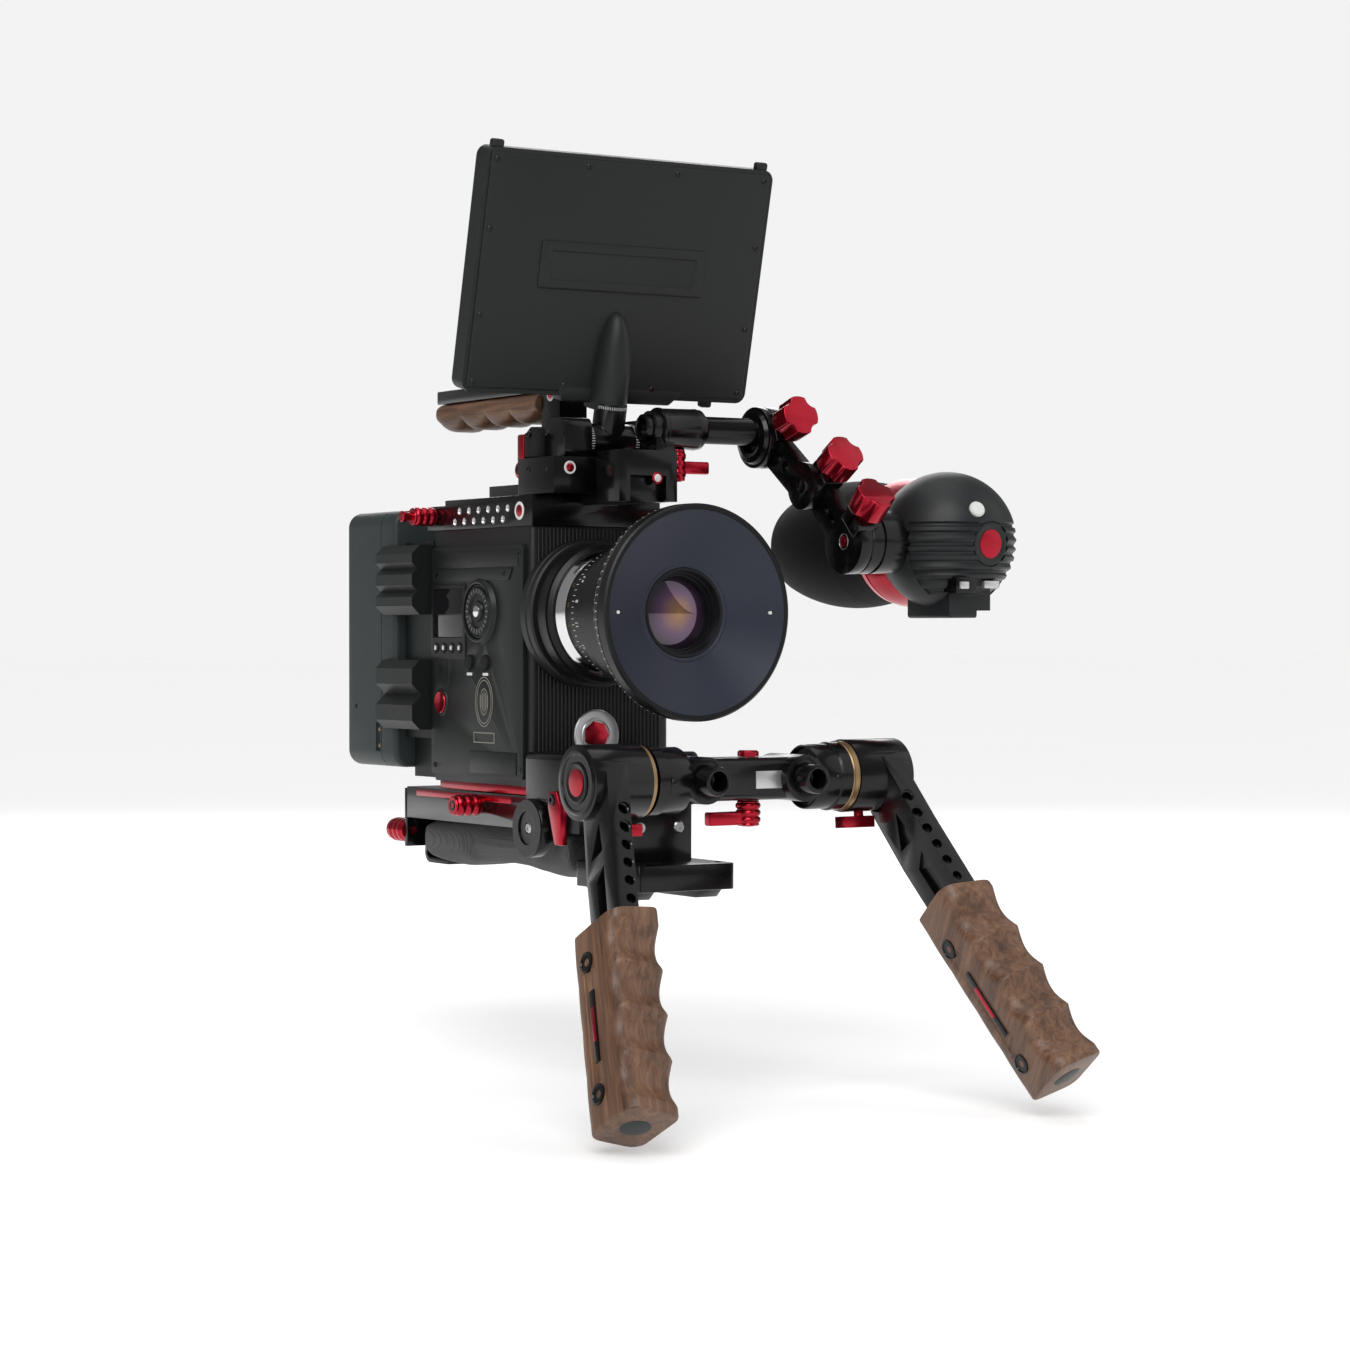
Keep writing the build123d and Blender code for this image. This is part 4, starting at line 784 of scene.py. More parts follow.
ready(dome("front_element", 0.0194, 3.4 * MM, tube_front + 4.6 * MM, 4 * MM), front_tint,
      "camera", "glass", "front_glass")
inner_tint = coated_glass("inner_coating", (0.30, 0.14, 0.03), (0.06, 0.02, 0.08), axis_point, 0.02)
group_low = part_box("focus_group")[0].y
ready(dome("focusing_element", 0.0188, 1.5 * MM, group_low + 3 * MM, 4 * MM), inner_tint,
      "focus_group", "glass", "focus_group")
for side in (-1, 1):
    dot = turned("rim_dot_%d" % (side + 2),
                 [(0, -0.2 * MM), (0.9 * MM, -0.2 * MM), (0.9 * MM, 1 * MM), (0, 1 * MM)],
                 axis_point + Vector((side * 0.047, low.y + 3 * MM, 0)), Y, 16)
    ready(dot, paint_white, "camera", "white_key")


# %% [markdown]
# ## Small parts that repeat
# Screws, badges and pressed buttons appear all over the rig. Each is a turned piece made
# once by a function, then placed with a matrix that lays its own axis along any direction.

# %% Screws, badges and buttons
def facing(point, axis):
    """Matrix that lays a piece made along Z at the origin along an axis at a point."""
    return Matrix.Translation(Vector(point)) @ Vector(axis).to_track_quat("Z", "Y").to_matrix().to_4x4()


def screw(radius=1.6 * MM, proud=0.5 * MM):
    """Button-head screw with a six-sided recess, its head along +Z."""
    head = turned("screw", [(0, -1 * MM), (radius, -1 * MM), (radius, proud * 0.4),
                            (radius * 0.8, proud), (0, proud)], (0, 0, 0), Z, 24)
    bpy.ops.object.select_all(action="DESELECT")
    bpy.ops.mesh.primitive_cylinder_add(vertices=6, radius=radius * 0.45, depth=proud * 1.6,
                                        location=(0, 0, proud))
    return cut(head, named("key"))


screw_small = screw()
screw_large = screw(3.2 * MM, 0.9 * MM)


def screws(name, model, places, axis, body, material=None):
    """Copies of a screw at places, joined into one piece."""
    made = [copied(model, "screw", facing(place, axis)) for place in places]
    return ready(joined(name, *made), material or black_metal, body, "steel")


def badge(name, centre, axis, radius, body, rim=None, field=None):
    """Round blank badge: a thin rim disc and a raised field."""
    move = facing(centre, axis)
    disc = turned(name, [(0, -0.5 * MM), (radius, -0.5 * MM), (radius, 0.3 * MM),
                         (radius * 0.93, 0.55 * MM),
                         (radius * 0.84, 0.55 * MM), (radius * 0.8, 0.3 * MM), (0, 0.3 * MM)],
                         (0, 0, 0), Z, 48)
    disc.data.transform(move)
    ready(disc, rim or silver, body, "chrome")
    inner = turned(name + "_field",
                   [(0, 0), (radius * 0.66, 0), (radius * 0.66, 0.5 * MM), (radius * 0.5, 0.75 * MM),
                                     (0, 0.85 * MM)], (0, 0, 0), Z, 32)
    inner.data.transform(move)
    return ready(inner, field or crimson_metal, body, "crimson")


def side_button(node, body, material, slot, dish):
    """Round button on the control panel, its face dished (plus) or crowned (minus)."""
    low, high, mid = node_box(node)
    r = (high.y - low.y) / 2
    face = low.x - mid.x
    back = high.x - mid.x
    key = turned(node + "_cap", [(0, back), (r, back), (r, face + 0.5 * MM), (r - 0.4 * MM, face),
                                 (r * 0.6, face + dish * 0.6), (0, face + dish)], mid, X, 40)
    return ready(key, material, body, slot, node)


# %% [markdown]
# ## The camera body
# The case is a copy of the machined node with its edges broken, because broken edges are what
# catch the light on a dark camera. The fine upright ribs on its front are one rib repeated
# by an Array.

# %% Case, ribs and cooling louvres
low, high, _ = node_box("camera_body")
ready(from_node("camera_case", "camera_body", edge=0.9 * MM), case_black, "camera", "body_black",
      "camera_body")


def repeated(piece, count, step):
    return modified(piece, "ARRAY", count=count, use_relative_offset=False,
                    use_constant_offset=True, constant_offset_displace=step)


rib_step = 2.4 * MM
rib_left = low.x + 4 * MM
rib = block("front_ribs", (rib_left, low.y - 0.8 * MM, low.z + 1 * MM),
            (rib_left + 1.3 * MM, low.y + 0.4 * MM, high.z - 1 * MM), 0.35 * MM, 1)
rib_count = int((high.x - low.x - 8 * MM) / rib_step)
ready(repeated(rib, rib_count, (rib_step, 0, 0)), case_black, "camera", "body_black")
louvre = block("side_louvres", (high.x - 0.4 * MM, low.y + 14 * MM, low.z + 22 * MM),
               (high.x + 1 * MM, low.y + 15.6 * MM, high.z - 24 * MM), 0.4 * MM, 1)
ready(repeated(louvre, 20, (0, 4.2 * MM, 0)), case_black, "camera", "body_black")
louvre_frame = block("side_cover", (high.x - 0.4 * MM, low.y + 7 * MM, low.z + 12 * MM),
                     (high.x + 0.5 * MM, high.y - 7 * MM, high.z - 14 * MM), 0.4 * MM, 1)
ready(louvre_frame, panel_black, "camera", "body_black")
corner = [(low.y + 11 * MM, low.z + 16 * MM), (low.y + 11 * MM, high.z - 18 * MM),
          (high.y - 11 * MM, low.z + 16 * MM), (high.y - 11 * MM, high.z - 18 * MM)]
screws("side_cover_screws", screw_small, [(high.x + 0.5 * MM, y, z) for y, z in corner], X, "camera")
medal = Vector((lens_axis.x + 6.6 * MM, low.y - 0.8 * MM, lens_axis.z - 67 * MM))
medal_ring = turned("front_medallion", [
    (0, -0.5 * MM), (14.3 * MM, -0.5 * MM), (14.3 * MM, 0.4 * MM), (13.7 * MM, 0.8 * MM),
    (13.2 * MM, 0.5 * MM),
    (9.6 * MM, 0.5 * MM), (9.2 * MM, 0.9 * MM), (8.4 * MM, 0.9 * MM), (8.0 * MM, 0.2 * MM), (0, 0.2 * MM)],
    medal, -Y, 72)
ready(medal_ring, silver, "camera", "chrome")
medal_glass = turned("medallion_glass",
                     [(0, 0), (7.9 * MM, 0), (7.9 * MM, 0.5 * MM), (5 * MM, 1.1 * MM), (0, 1.4 * MM)],
                     medal, -Y, 7, 10)
ready(medal_glass, crimson_metal, "camera", "crimson")
print("ribs:", rib_count)

# %% [markdown]
# The control panel sits on the case's right-hand side. It carries two bevelled strips, a
# small display in its frame, a knurled dial under a shroud, keys and a plain engraved sign.

# %% Control panel
low, high, _ = node_box("side_panel")
face = low.x
ready(from_node("control_panel", "side_panel", edge=0.5 * MM), panel_black, "camera", "body_black",
      "side_panel")
upper_strip = block("upper_strip", (face - 0.5 * MM, low.y + 5 * MM, high.z - 12 * MM),
                    (face + 0.4 * MM, high.y - 7 * MM, high.z - 2.6 * MM), 0.45 * MM, 2)
ready(upper_strip, case_black, "camera", "body_black")
lower_strip = cut_flat("lower_strip", [Vector((face - 0.9 * MM, y, z)) for y, z in (
    (low.y + 11 * MM, high.z - 12.6 * MM), (high.y - 4 * MM, high.z - 12.6 * MM),
    (high.y - 4 * MM, high.z - 19.5 * MM), (low.y + 15 * MM, high.z - 19.5 * MM))],
    X * 1.3 * MM, 0.4 * MM)
ready(lower_strip, shell_black, "camera", "body_black")
screws("panel_screws", screw_small, [
    (face - 0.9 * MM, high.y - 9 * MM, high.z - 16 * MM),
    (face - 0.9 * MM, low.y + 20 * MM, high.z - 16 * MM),
    (face, low.y + 3.6 * MM, high.z - 5 * MM), (face, low.y + 3.6 * MM, low.z + 5 * MM),
    (face, high.y - 3.6 * MM, low.z + 5 * MM)], -X, "camera")
lower_hatch = block("lower_hatch", (face - 0.7 * MM, low.y + 7 * MM, low.z + 2 * MM),
                  (face + 0.4 * MM, low.y + 60 * MM, low.z + 14.5 * MM), 0.6 * MM, 2)
ready(lower_hatch, panel_black, "camera", "body_black")

glass_low, glass_high, _ = node_box("display_glass")
frame_edge = 2.2 * MM
bezel = block("display_frame", (face - 0.7 * MM, glass_low.y - frame_edge, glass_low.z - 12 * MM),
              (face + 0.4 * MM, glass_high.y + frame_edge, glass_high.z + frame_edge), 0.4 * MM)
window = block("window", (face - 3 * MM, glass_low.y + 0.3 * MM, glass_low.z + 0.3 * MM),
               (face + 3 * MM, glass_high.y - 0.3 * MM, glass_high.z - 0.3 * MM), 0.2 * MM)
key_holes = [turned("hole", [(0, -3 * MM), (3.0 * MM, -3 * MM), (3.0 * MM, 3 * MM), (0, 3 * MM)],
                    (face, node_box("soft_key_%d" % i)[2].y, node_box("soft_key_%d" % i)[2].z), X, 24)
             for i in range(1, 5)]
ready(cut(bezel, window, *key_holes), case_black, "camera", "body_black")
ready(from_node("display_window", "display_glass", edge=0.25 * MM), screen_black, "camera", "screen",
      "display_glass")

# %% Dial, keys and buttons
low_d, high_d, dial_mid = node_box("menu_dial")
dial_r = (high_d.y - low_d.y) / 2
dial_face = low_d.x - dial_mid.x
wheel = turned("dial_wheel", [
    (0, high_d.x - dial_mid.x), (dial_r - 1 * MM, high_d.x - dial_mid.x),
    (dial_r - 1 * MM, dial_face + 2.6 * MM),
    (dial_r - 2 * MM, dial_face + 1.6 * MM), (dial_r - 5.4 * MM, dial_face + 1.6 * MM),
    (dial_r - 6 * MM, dial_face + 2.6 * MM),
    (6 * MM, dial_face + 2.6 * MM), (5.4 * MM, dial_face + 1.4 * MM), (0, dial_face + 1.4 * MM)],
    dial_mid, X, 72)
ribbed(wheel, X, dial_mid, dial_r - 1.2 * MM, dial_r - 0.8 * MM, 0.9 * MM)
ready(wheel, lens_black, "menu_dial", "body_black", "menu_dial")
thumb = turned("dial_thumb",
               [(0, dial_face + 2 * MM), (3.4 * MM, dial_face + 2 * MM), (3.2 * MM, dial_face + 0.9 * MM),
                              (2.2 * MM, dial_face + 0.25 * MM), (0, dial_face)], dial_mid, X, 32)
ready(thumb, chrome, "menu_dial", "chrome")
first_spoke = tick(0.5 * MM, 2.4 * MM, 0)
spokes = [first_spoke] + [copied(first_spoke, "tick", (0, 0, 0)) for _ in range(23)]
for i, spoke in enumerate(spokes):
    turn = Matrix.Rotation(math.tau * i / 24, 4, "X")
    spoke.data.transform(Matrix.Translation(dial_mid + X * (dial_face + 1.6 * MM)) @ turn
                         @ Matrix.Translation((0, dial_r - 3.6 * MM, 0)) @ Matrix.Rotation(math.pi / 2,
                                 4, "Y"))
ready(joined("dial_ticks", *spokes), engraving, "menu_dial", "white_key")
shroud = turned("dial_shroud", [
    (dial_r + 0.5 * MM, face - dial_mid.x + 0.4 * MM), (dial_r + 0.5 * MM, face - dial_mid.x - 2.2 * MM),
    (dial_r + 1.4 * MM, face - dial_mid.x - 2.8 * MM), (dial_r + 2.4 * MM, face - dial_mid.x - 2.4 * MM),
    (dial_r + 4.2 * MM, face - dial_mid.x + 0.4 * MM)], dial_mid, X, 96)
ready(shroud, panel_black, "camera", "body_black")
for i in range(1, 5):
    side_button("soft_key_%d" % i, "soft_key_%d" % i, case_black, "white_key", 0.4 * MM)
    key_low, _, key_mid = node_box("soft_key_%d" % i)
    sign_bar = block("key_mark_%d" % i, (key_low.x - 0.15 * MM, key_mid.y - 0.8 * MM, key_mid.z - 1.2 * MM),
                     (key_low.x + 0.6 * MM, key_mid.y + 0.8 * MM, key_mid.z + 1.2 * MM), 0.12 * MM, 1)
    ready(sign_bar, white_key, "soft_key_%d" % i, "white_key")
for i in (1, 2):
    side_button("function_button_%d" % i, "function_button_%d" % i, rubber, "body_black", -0.5 * MM)
    _, _, key_mid = node_box("function_button_%d" % i)
    label = block("function_mark_%d" % i, (face - 0.3 * MM, key_mid.y - 3 * MM, key_mid.z - 7.4 * MM),
                  (face + 0.2 * MM, key_mid.y + 3 * MM, key_mid.z - 5.8 * MM), 0.15 * MM, 1)
    ready(label, paint_white, "camera", "white_key")
side_button("record_button", "record_button", crimson_metal, "crimson", 0.9 * MM)
_, _, record_mid = node_box("record_button")
collar = turned("record_collar", [
    (6.6 * MM, face - record_mid.x + 0.3 * MM), (6.6 * MM, face - record_mid.x - 0.9 * MM),
    (7.6 * MM, face - record_mid.x - 0.7 * MM), (8.2 * MM, face - record_mid.x + 0.3 * MM)], record_mid,
    X, 48)
ready(collar, case_black, "camera", "body_black")

# %% A plain engraved sign
sign_mid = Vector((face, low.y + 44 * MM, lens_axis.z - 49 * MM))
sign = []
for r, squash in ((13.5, 0.72), (11.8, 0.68), (7.0, 0.62)):
    hoop = turned("hoop", [(r * MM, -0.25 * MM), (r * MM + 0.5 * MM, -0.25 * MM),
                           (r * MM + 0.5 * MM, 0.3 * MM),
                           (r * MM, 0.3 * MM)], (0, 0, 0), X, 48)
    hoop.data.transform(Matrix.Translation(sign_mid) @ Matrix.Diagonal((1, squash, 1, 1)))
    sign.append(hoop)
for step in (-2, -1, 0, 1, 2):
    reach = 6.2 * MM - abs(step) * 1.3 * MM
    sign.append(block("bar", sign_mid + Vector((-0.25 * MM, step * 1.7 * MM - 0.25 * MM, -reach)),
                      sign_mid + Vector((0.3 * MM, step * 1.7 * MM + 0.25 * MM, reach)), 0.1 * MM, 1))
outline = block("outline", sign_mid + Vector((-0.25 * MM, -12 * MM, -23 * MM)),
                sign_mid + Vector((0.3 * MM, 12 * MM, -17 * MM)), 0.1 * MM, 1)
inside = block("inside", sign_mid + Vector((-1 * MM, -11.4 * MM, -22.4 * MM)),
               sign_mid + Vector((1 * MM, 11.4 * MM, -17.6 * MM)), 0.1 * MM, 1)
sign.append(cut(outline, inside))
ready(joined("engraved_sign", *sign), engraving, "camera", "white_key")

# %% [markdown]
# ## Top plate
# A milled bar with two rows of threaded holes. The holes are real cuts, and each has a
# bright countersunk seat, because that is the first thing the light finds on this bar.

# %% Top plate with its holes
low, high, _ = node_box("top_plate")
bar_face = node_box("camera_body")[0].x
case_front = node_box("camera_body")[0].y
hole_rows = [(case_front + (26.4 + 11.2 * i) * MM, lens_axis.z + 58.3 * MM) for i in range(6)]
hole_rows += [(case_front + (31.9 + 11.2 * i) * MM, lens_axis.z + 52.3 * MM) for i in range(6)]
top_bar = from_node("top_bar", "top_plate", edge=0.7 * MM)
drills = [turned("drill", [(0, -1 * MM), (2.1 * MM, -1 * MM), (2.1 * MM, 5 * MM), (0, 5 * MM)],
                 (bar_face, y, z), X, 20) for y, z in hole_rows]
ready(cut(top_bar, *drills), black_metal, "camera", "anodised_black", "top_plate")
seats = [turned("seat", [(2.1 * MM, 0), (1.2 * MM, 1.3 * MM), (1.0 * MM, 4 * MM), (2.1 * MM, 4 * MM)],
                (bar_face, y, z), X, 20) for y, z in hole_rows]
ready(joined("hole_seats", *seats), steel, "camera", "steel")
badge("top_bar_badge", (bar_face, case_front + 13 * MM, lens_axis.z + 56.5 * MM), -X,
      5.0 * MM, "camera", paint_white)
rail_low = low.y
rail_top = high.z
rail_mid_x = node_box("handle_wood")[2].x
rail_marks = block("rail_marks", (rail_mid_x - 9 * MM, rail_low + 4 * MM, rail_top - 0.2 * MM),
                   (rail_mid_x + 9 * MM, rail_low + 4.8 * MM, rail_top + 0.08 * MM), 0.05 * MM, 1)
ready(repeated(rail_marks, 28, (0, 5 * MM, 0)), shell_black, "camera", "body_black")
print("holes:", len(hole_rows))

# %% [markdown]
# ## Rear housing and battery
# The connector guards are blocks with V grooves cut along them, which leaves the stacked
# chamfered ridges. The battery is a moulded box with wide round edges, a seam and contacts.

# %% Connector housing
def groove(y0, y1, x, z, half):
    """Long square bar on its edge, for cutting a V groove."""
    bpy.ops.object.select_all(action="DESELECT")
    bpy.ops.mesh.primitive_cube_add(size=1, location=(x, (y0 + y1) / 2, z), rotation=(0, math.pi / 4, 0),
                                    scale=(half * 1.414, y1 - y0, half * 1.414))
    return named("groove")


low, high, _ = node_box("io_housing")
housing = from_node("connector_housing", "io_housing", edge=0.01 * MM, segments=1)
guard_x = low.x
cuts = [groove(low.y - 1 * MM, high.y + 1 * MM, guard_x, lens_axis.z + z * MM, half * MM)
        for z, half in ((40, 5), (26.5, 3.4), (13.5, 3.4), (0, 5), (-26, 5), (-46, 6), (-66, 5))]
housing = eased(cut(housing, *cuts), 1.1 * MM, 3, 25)
ready(housing, panel_black, "camera", "body_black", "io_housing")
sockets = []
for z in (33, 20, 7, -34, -56):
    well = turned("well", [(0, 0), (4.2 * MM, 0), (4.6 * MM, -0.5 * MM), (4.2 * MM, -0.9 * MM),
                           (3.4 * MM, -0.9 * MM),
                           (3.2 * MM, -0.3 * MM), (0, -0.3 * MM)],
                  (guard_x + 7 * MM, high.y + 0.4 * MM, lens_axis.z + z * MM), -Y, 32)
    sockets.append(well)
ready(joined("socket_wells", *sockets), rubber, "camera", "rubber")

# %% Battery
low, high, battery_mid = node_box("battery_pack")
case = from_node("battery_case", "battery_pack", edge=3.0 * MM, segments=4)
seam = block("seam", (low.x - 2 * MM, low.y + 17 * MM, low.z - 2 * MM),
             (high.x + 2 * MM, low.y + 17.7 * MM, high.z + 2 * MM), 0.05 * MM, 1)
core = block("core", (low.x + 0.7 * MM, low.y + 10 * MM, low.z + 0.7 * MM),
             (high.x - 0.7 * MM, low.y + 25 * MM, high.z - 0.7 * MM), 8.5 * MM, 5)
seam = cut(seam, core)
slot_cut = block("slot", (low.x - 1 * MM, low.y + 18.5 * MM, low.z + 9 * MM),
                 (low.x + 2 * MM, low.y + 24.5 * MM, low.z + 26 * MM), 0.8 * MM)
pin_cut = turned("pin", [(0, -1 * MM), (1.3 * MM, -1 * MM), (1.3 * MM, 3 * MM), (0, 3 * MM)],
                 (low.x, low.y + 50 * MM, low.z + 35 * MM), X, 24)
ready(cut(case, seam, slot_cut, pin_cut), battery_grey, "battery", "battery_grey", "battery_pack")
contacts = [turned("contact",
                   [(0, 1.6 * MM), (1.3 * MM, 1.6 * MM), (1.3 * MM, 0.8 * MM), (0.7 * MM, 0.5 * MM),
                    (0, 0.5 * MM)],
                   (low.x, low.y + 21.5 * MM, low.z + z * MM), X, 20) for z in (12.5, 22)]
ready(joined("battery_contacts", *contacts), gold_metal, "battery", "steel")
gauge = block("charge_gauge", (battery_mid.x - 16 * MM, high.y - 0.4 * MM, battery_mid.z - 6 * MM),
              (battery_mid.x + 16 * MM, high.y + 0.4 * MM, battery_mid.z + 6 * MM), 0.5 * MM)
ready(gauge, panel_black, "battery", "battery_grey")
lights = [block("light", (battery_mid.x + (i * 6 - 11) * MM, high.y + 0.2 * MM, battery_mid.z - 1.5 * MM),
                (battery_mid.x + (i * 6 - 7) * MM, high.y + 0.7 * MM, battery_mid.z + 1.5 * MM),
                0.3 * MM) for i in range(4)]
ready(joined("charge_lights", *lights), white_key, "battery", "white_key")


# %% [markdown]
# ## Levers and knobs
# Every clamp on the rig closes with a crimson lever: a drum with rounded ridges, a flat tail
# and a dark screw in its end. The joints say where each drum's axis runs.

# %% Joint axes and levers
joints = {joint["name"]: joint for joint in frame["joints"]}


def pivot(name):
    return Vector(joints[name]["pos_m"])


def ridged_drum(name, centre, axis, radius, length, ridges=3):
    """Drum from the centre along the axis, with rounded ridges and eased ends."""
    pitch = length / (ridges + 0.6)
    profile = [(0, 0), (radius * 0.82, 0), (radius * 0.88, pitch * 0.2)]
    for i in range(ridges):
        start = pitch * (i + 0.3)
        profile += [(radius * 0.86, start), (radius * 0.98, start + pitch * 0.2),
                    (radius, start + pitch * 0.45),
                    (radius * 0.98, start + pitch * 0.7), (radius * 0.86, start + pitch * 0.92)]
    profile += [(radius * 0.9, length - pitch * 0.15), (radius * 0.8, length), (0, length)]
    return turned(name, profile, centre, axis, 48, 40)


def lever(name, node, body, axis, start, radius, length, tail_low, tail_high):
    """Crimson lever: drum, tail and end screw. The start is the drum's inner end."""
    drum = ridged_drum(name, start, axis, radius, length)
    tail = block(name + "_tail", tail_low, tail_high, 1.2 * MM, 3)
    ready(joined(name, drum, tail), crimson_metal, body, "crimson", node)
    end = turned(name + "_screw", [(0, -1 * MM), (radius * 0.5, -1 * MM), (radius * 0.5, 0.3 * MM),
                                   (radius * 0.3, 0.3 * MM), (radius * 0.24, -0.3 * MM), (0, -0.3 * MM)],
                 Vector(start) + axis * length, axis, 20)
    ready(end, black_metal, body, "steel")


low, high, _ = node_box("side_lever")
hub = pivot("side_lever_turn")
lever("clamp_lever_side", "side_lever", "side_lever", -X, (high.x - 9.3 * MM, hub.y, hub.z), 6 * MM,
      17.7 * MM,
      (low.x + 11 * MM, hub.y, hub.z - 2.5 * MM), (low.x + 16 * MM, high.y, hub.z + 2.5 * MM))
low, high, _ = node_box("rear_lever")
hub = pivot("rear_lever_turn")
lever("clamp_lever_rear", "rear_lever", "rear_lever", Y, (hub.x, high.y - 19.7 * MM, hub.z), 7 * MM,
      19.7 * MM,
      (hub.x, high.y - 17 * MM, low.z), (high.x, high.y - 11 * MM, low.z + 6 * MM))
low, high, _ = node_box("release_lever")
hub = pivot("release_lever_turn")
blade = cut_flat("release_blade", [Vector((low.x, y, z)) for y, z in (
    (low.y, low.z), (low.y + 7 * MM, low.z), (hub.y + 5 * MM, hub.z - 4 * MM),
    (hub.y + 5 * MM, hub.z + 4 * MM), (hub.y - 4 * MM, hub.z + 5 * MM), (low.y, hub.z - 6 * MM))],
    X * 4.4 * MM, 0.9 * MM)
ready(blade, crimson_metal, "release_lever", "crimson", "release_lever")
screws("release_screw", screw_large, [(low.x, hub.y, hub.z)], -X, "release_lever")
low, high, _ = node_box("top_plate_lever")
hub = pivot("top_plate_lever_turn")
drum = ridged_drum("top_lever_drum", (hub.x + 7.7 * MM, hub.y, hub.z), -X, 5.5 * MM, 15 * MM)
stub = turned("top_lever_stub",
              [(0, 0), (2.4 * MM, 0), (2.4 * MM, 5 * MM), (3.2 * MM, 6.2 * MM), (3.2 * MM, 8.4 * MM),
                                 (2.6 * MM, 9 * MM), (0, 9 * MM)], (low.x + 9 * MM, hub.y, hub.z), -X, 32)
ready(joined("clamp_lever_top", drum, stub), crimson_metal, "top_plate_lever", "crimson", "top_plate_lever")
low, high, _ = node_box("handle_lever")
hub = pivot("handle_lever_turn")
lever("clamp_lever_handle", "handle_lever", "handle_lever", -X, (low.x + 8.7 * MM, hub.y, hub.z),
      5 * MM, 8.7 * MM,
      (low.x + 1 * MM, hub.y - 3.5 * MM, hub.z), (low.x + 5 * MM, hub.y + 3.5 * MM, high.z))
low, high, _ = node_box("evf_clamp_lever")
hub = pivot("evf_clamp_lever_turn")
lever("clamp_lever_rod", "evf_clamp_lever", "evf_clamp_lever", -Z, (hub.x, hub.y, high.z - 2.5 * MM),
      5 * MM, 17 * MM,
      (hub.x, hub.y - 2 * MM, low.z + 4 * MM), (high.x, hub.y + 2 * MM, low.z + 11 * MM))
low, high, _ = node_box("crossbar_lever")
hub = pivot("crossbar_lever_turn")
_, _, bar_mid = node_box("crossbar")
lever("clamp_lever_bar", "crossbar_lever", "crossbar_lever", -Z, (hub.x, hub.y, low.z + 13 * MM),
      6.5 * MM, 13 * MM,
      (low.x, hub.y - 3 * MM, low.z + 0.5 * MM), (hub.x, hub.y + 3 * MM, low.z + 7.5 * MM))
cap = turned("bar_lever_cap",
             [(0, -3 * MM), (5.5 * MM, -3 * MM), (5.5 * MM, -0.8 * MM), (4.6 * MM, 0), (0, 0)],
             (hub.x, hub.y, high.z), Z, 40)
ready(cap, crimson_metal, "crossbar_lever", "crimson")
ready(from_node("release_foot", "quick_release_plate", edge=0.5 * MM), crimson_metal, "camera", "crimson",
      "quick_release_plate")

# %% [markdown]
# ## Monitor
# The monitor leans with its stem. Its pieces are made upright over the tilt axis and then
# leaned by the angle that the swivel joint's axis gives, so nothing is fitted by eye.

# %% Monitor shell
swivel = Vector(joints["monitor_swivel"]["axis"])
tilt_at = pivot("monitor_tilt")
lean = Matrix.Translation(tilt_at) @ Matrix.Rotation(math.atan2(-swivel.y, swivel.z), 4, "X")
upright = lean.inverted()
shell_points = [upright @ v.co for v in frame["nodes"]["monitor_shell"].data.vertices]
slab_low = Vector([min(p[i] for p in shell_points) for i in range(3)])
slab_high = Vector([max(p[i] for p in shell_points) for i in range(3)])
slab_front = slab_high.y - 12 * MM
slab_foot = slab_high.z - 131 * MM


def leaned(piece):
    piece.data.transform(lean)
    return piece


panel_axis = upright @ tilt_at
panel_axis = panel_axis.x
stem_hub = block("stem_hub", (panel_axis - 12 * MM, -12 * MM, slab_foot - 9 * MM),
                 (panel_axis + 12 * MM, slab_front - 0.1 * MM, slab_foot + 60 * MM), 0.1 * MM, 1)
shell = eased(cut(from_node("monitor_case", "monitor_shell", edge=0), leaned(stem_hub)), 1.2 * MM, 3)
ready(shell, shell_black, "monitor", "body_black", "monitor_shell")
tray = block("monitor_back", (slab_low.x + 2.5 * MM, slab_front - 1.1 * MM, slab_foot + 2.5 * MM),
             (slab_high.x - 2.5 * MM, slab_front + 1 * MM, slab_high.z - 2.5 * MM), 0.9 * MM, 3)
ready(leaned(tray), shell_black, "monitor", "body_black")
chin = cut_flat("monitor_chin", [Vector((x, slab_front - 1.2 * MM, z)) for x, z in (
    (slab_low.x + 58 * MM, slab_foot + 6 * MM), (slab_low.x + 62 * MM, slab_foot - 3 * MM),
    (slab_high.x - 50 * MM, slab_foot - 3 * MM), (slab_high.x - 40 * MM, slab_foot + 6 * MM))],
    Y * 11 * MM, 1.2 * MM, 3)
ready(leaned(chin), shell_black, "monitor", "body_black")
panel_mid = (slab_low.x + slab_high.x) / 2
plaque = block("raised_panel", (panel_mid - 52 * MM, slab_front - 2.4 * MM, slab_foot + 58 * MM),
               (panel_mid + 52 * MM, slab_front, slab_foot + 84 * MM), 1.2 * MM, 3)
well = block("well", (panel_mid - 46 * MM, slab_front - 4 * MM, slab_foot + 63 * MM),
             (panel_mid + 46 * MM, slab_front - 1.7 * MM, slab_foot + 79 * MM), 0.8 * MM, 3)
ready(leaned(cut(plaque, well)), shell_black, "monitor", "body_black")
bulge = turned("stem_bulge",
               [(0, -6 * MM), (1, -6 * MM), (1, 14 * MM), (0.94, 24 * MM), (0.83, 32 * MM), (0.66, 39 * MM),
                              (0.45, 44 * MM), (0.22, 47 * MM), (0, 48 * MM)], (0, 0, slab_foot), Z, 64, 60)
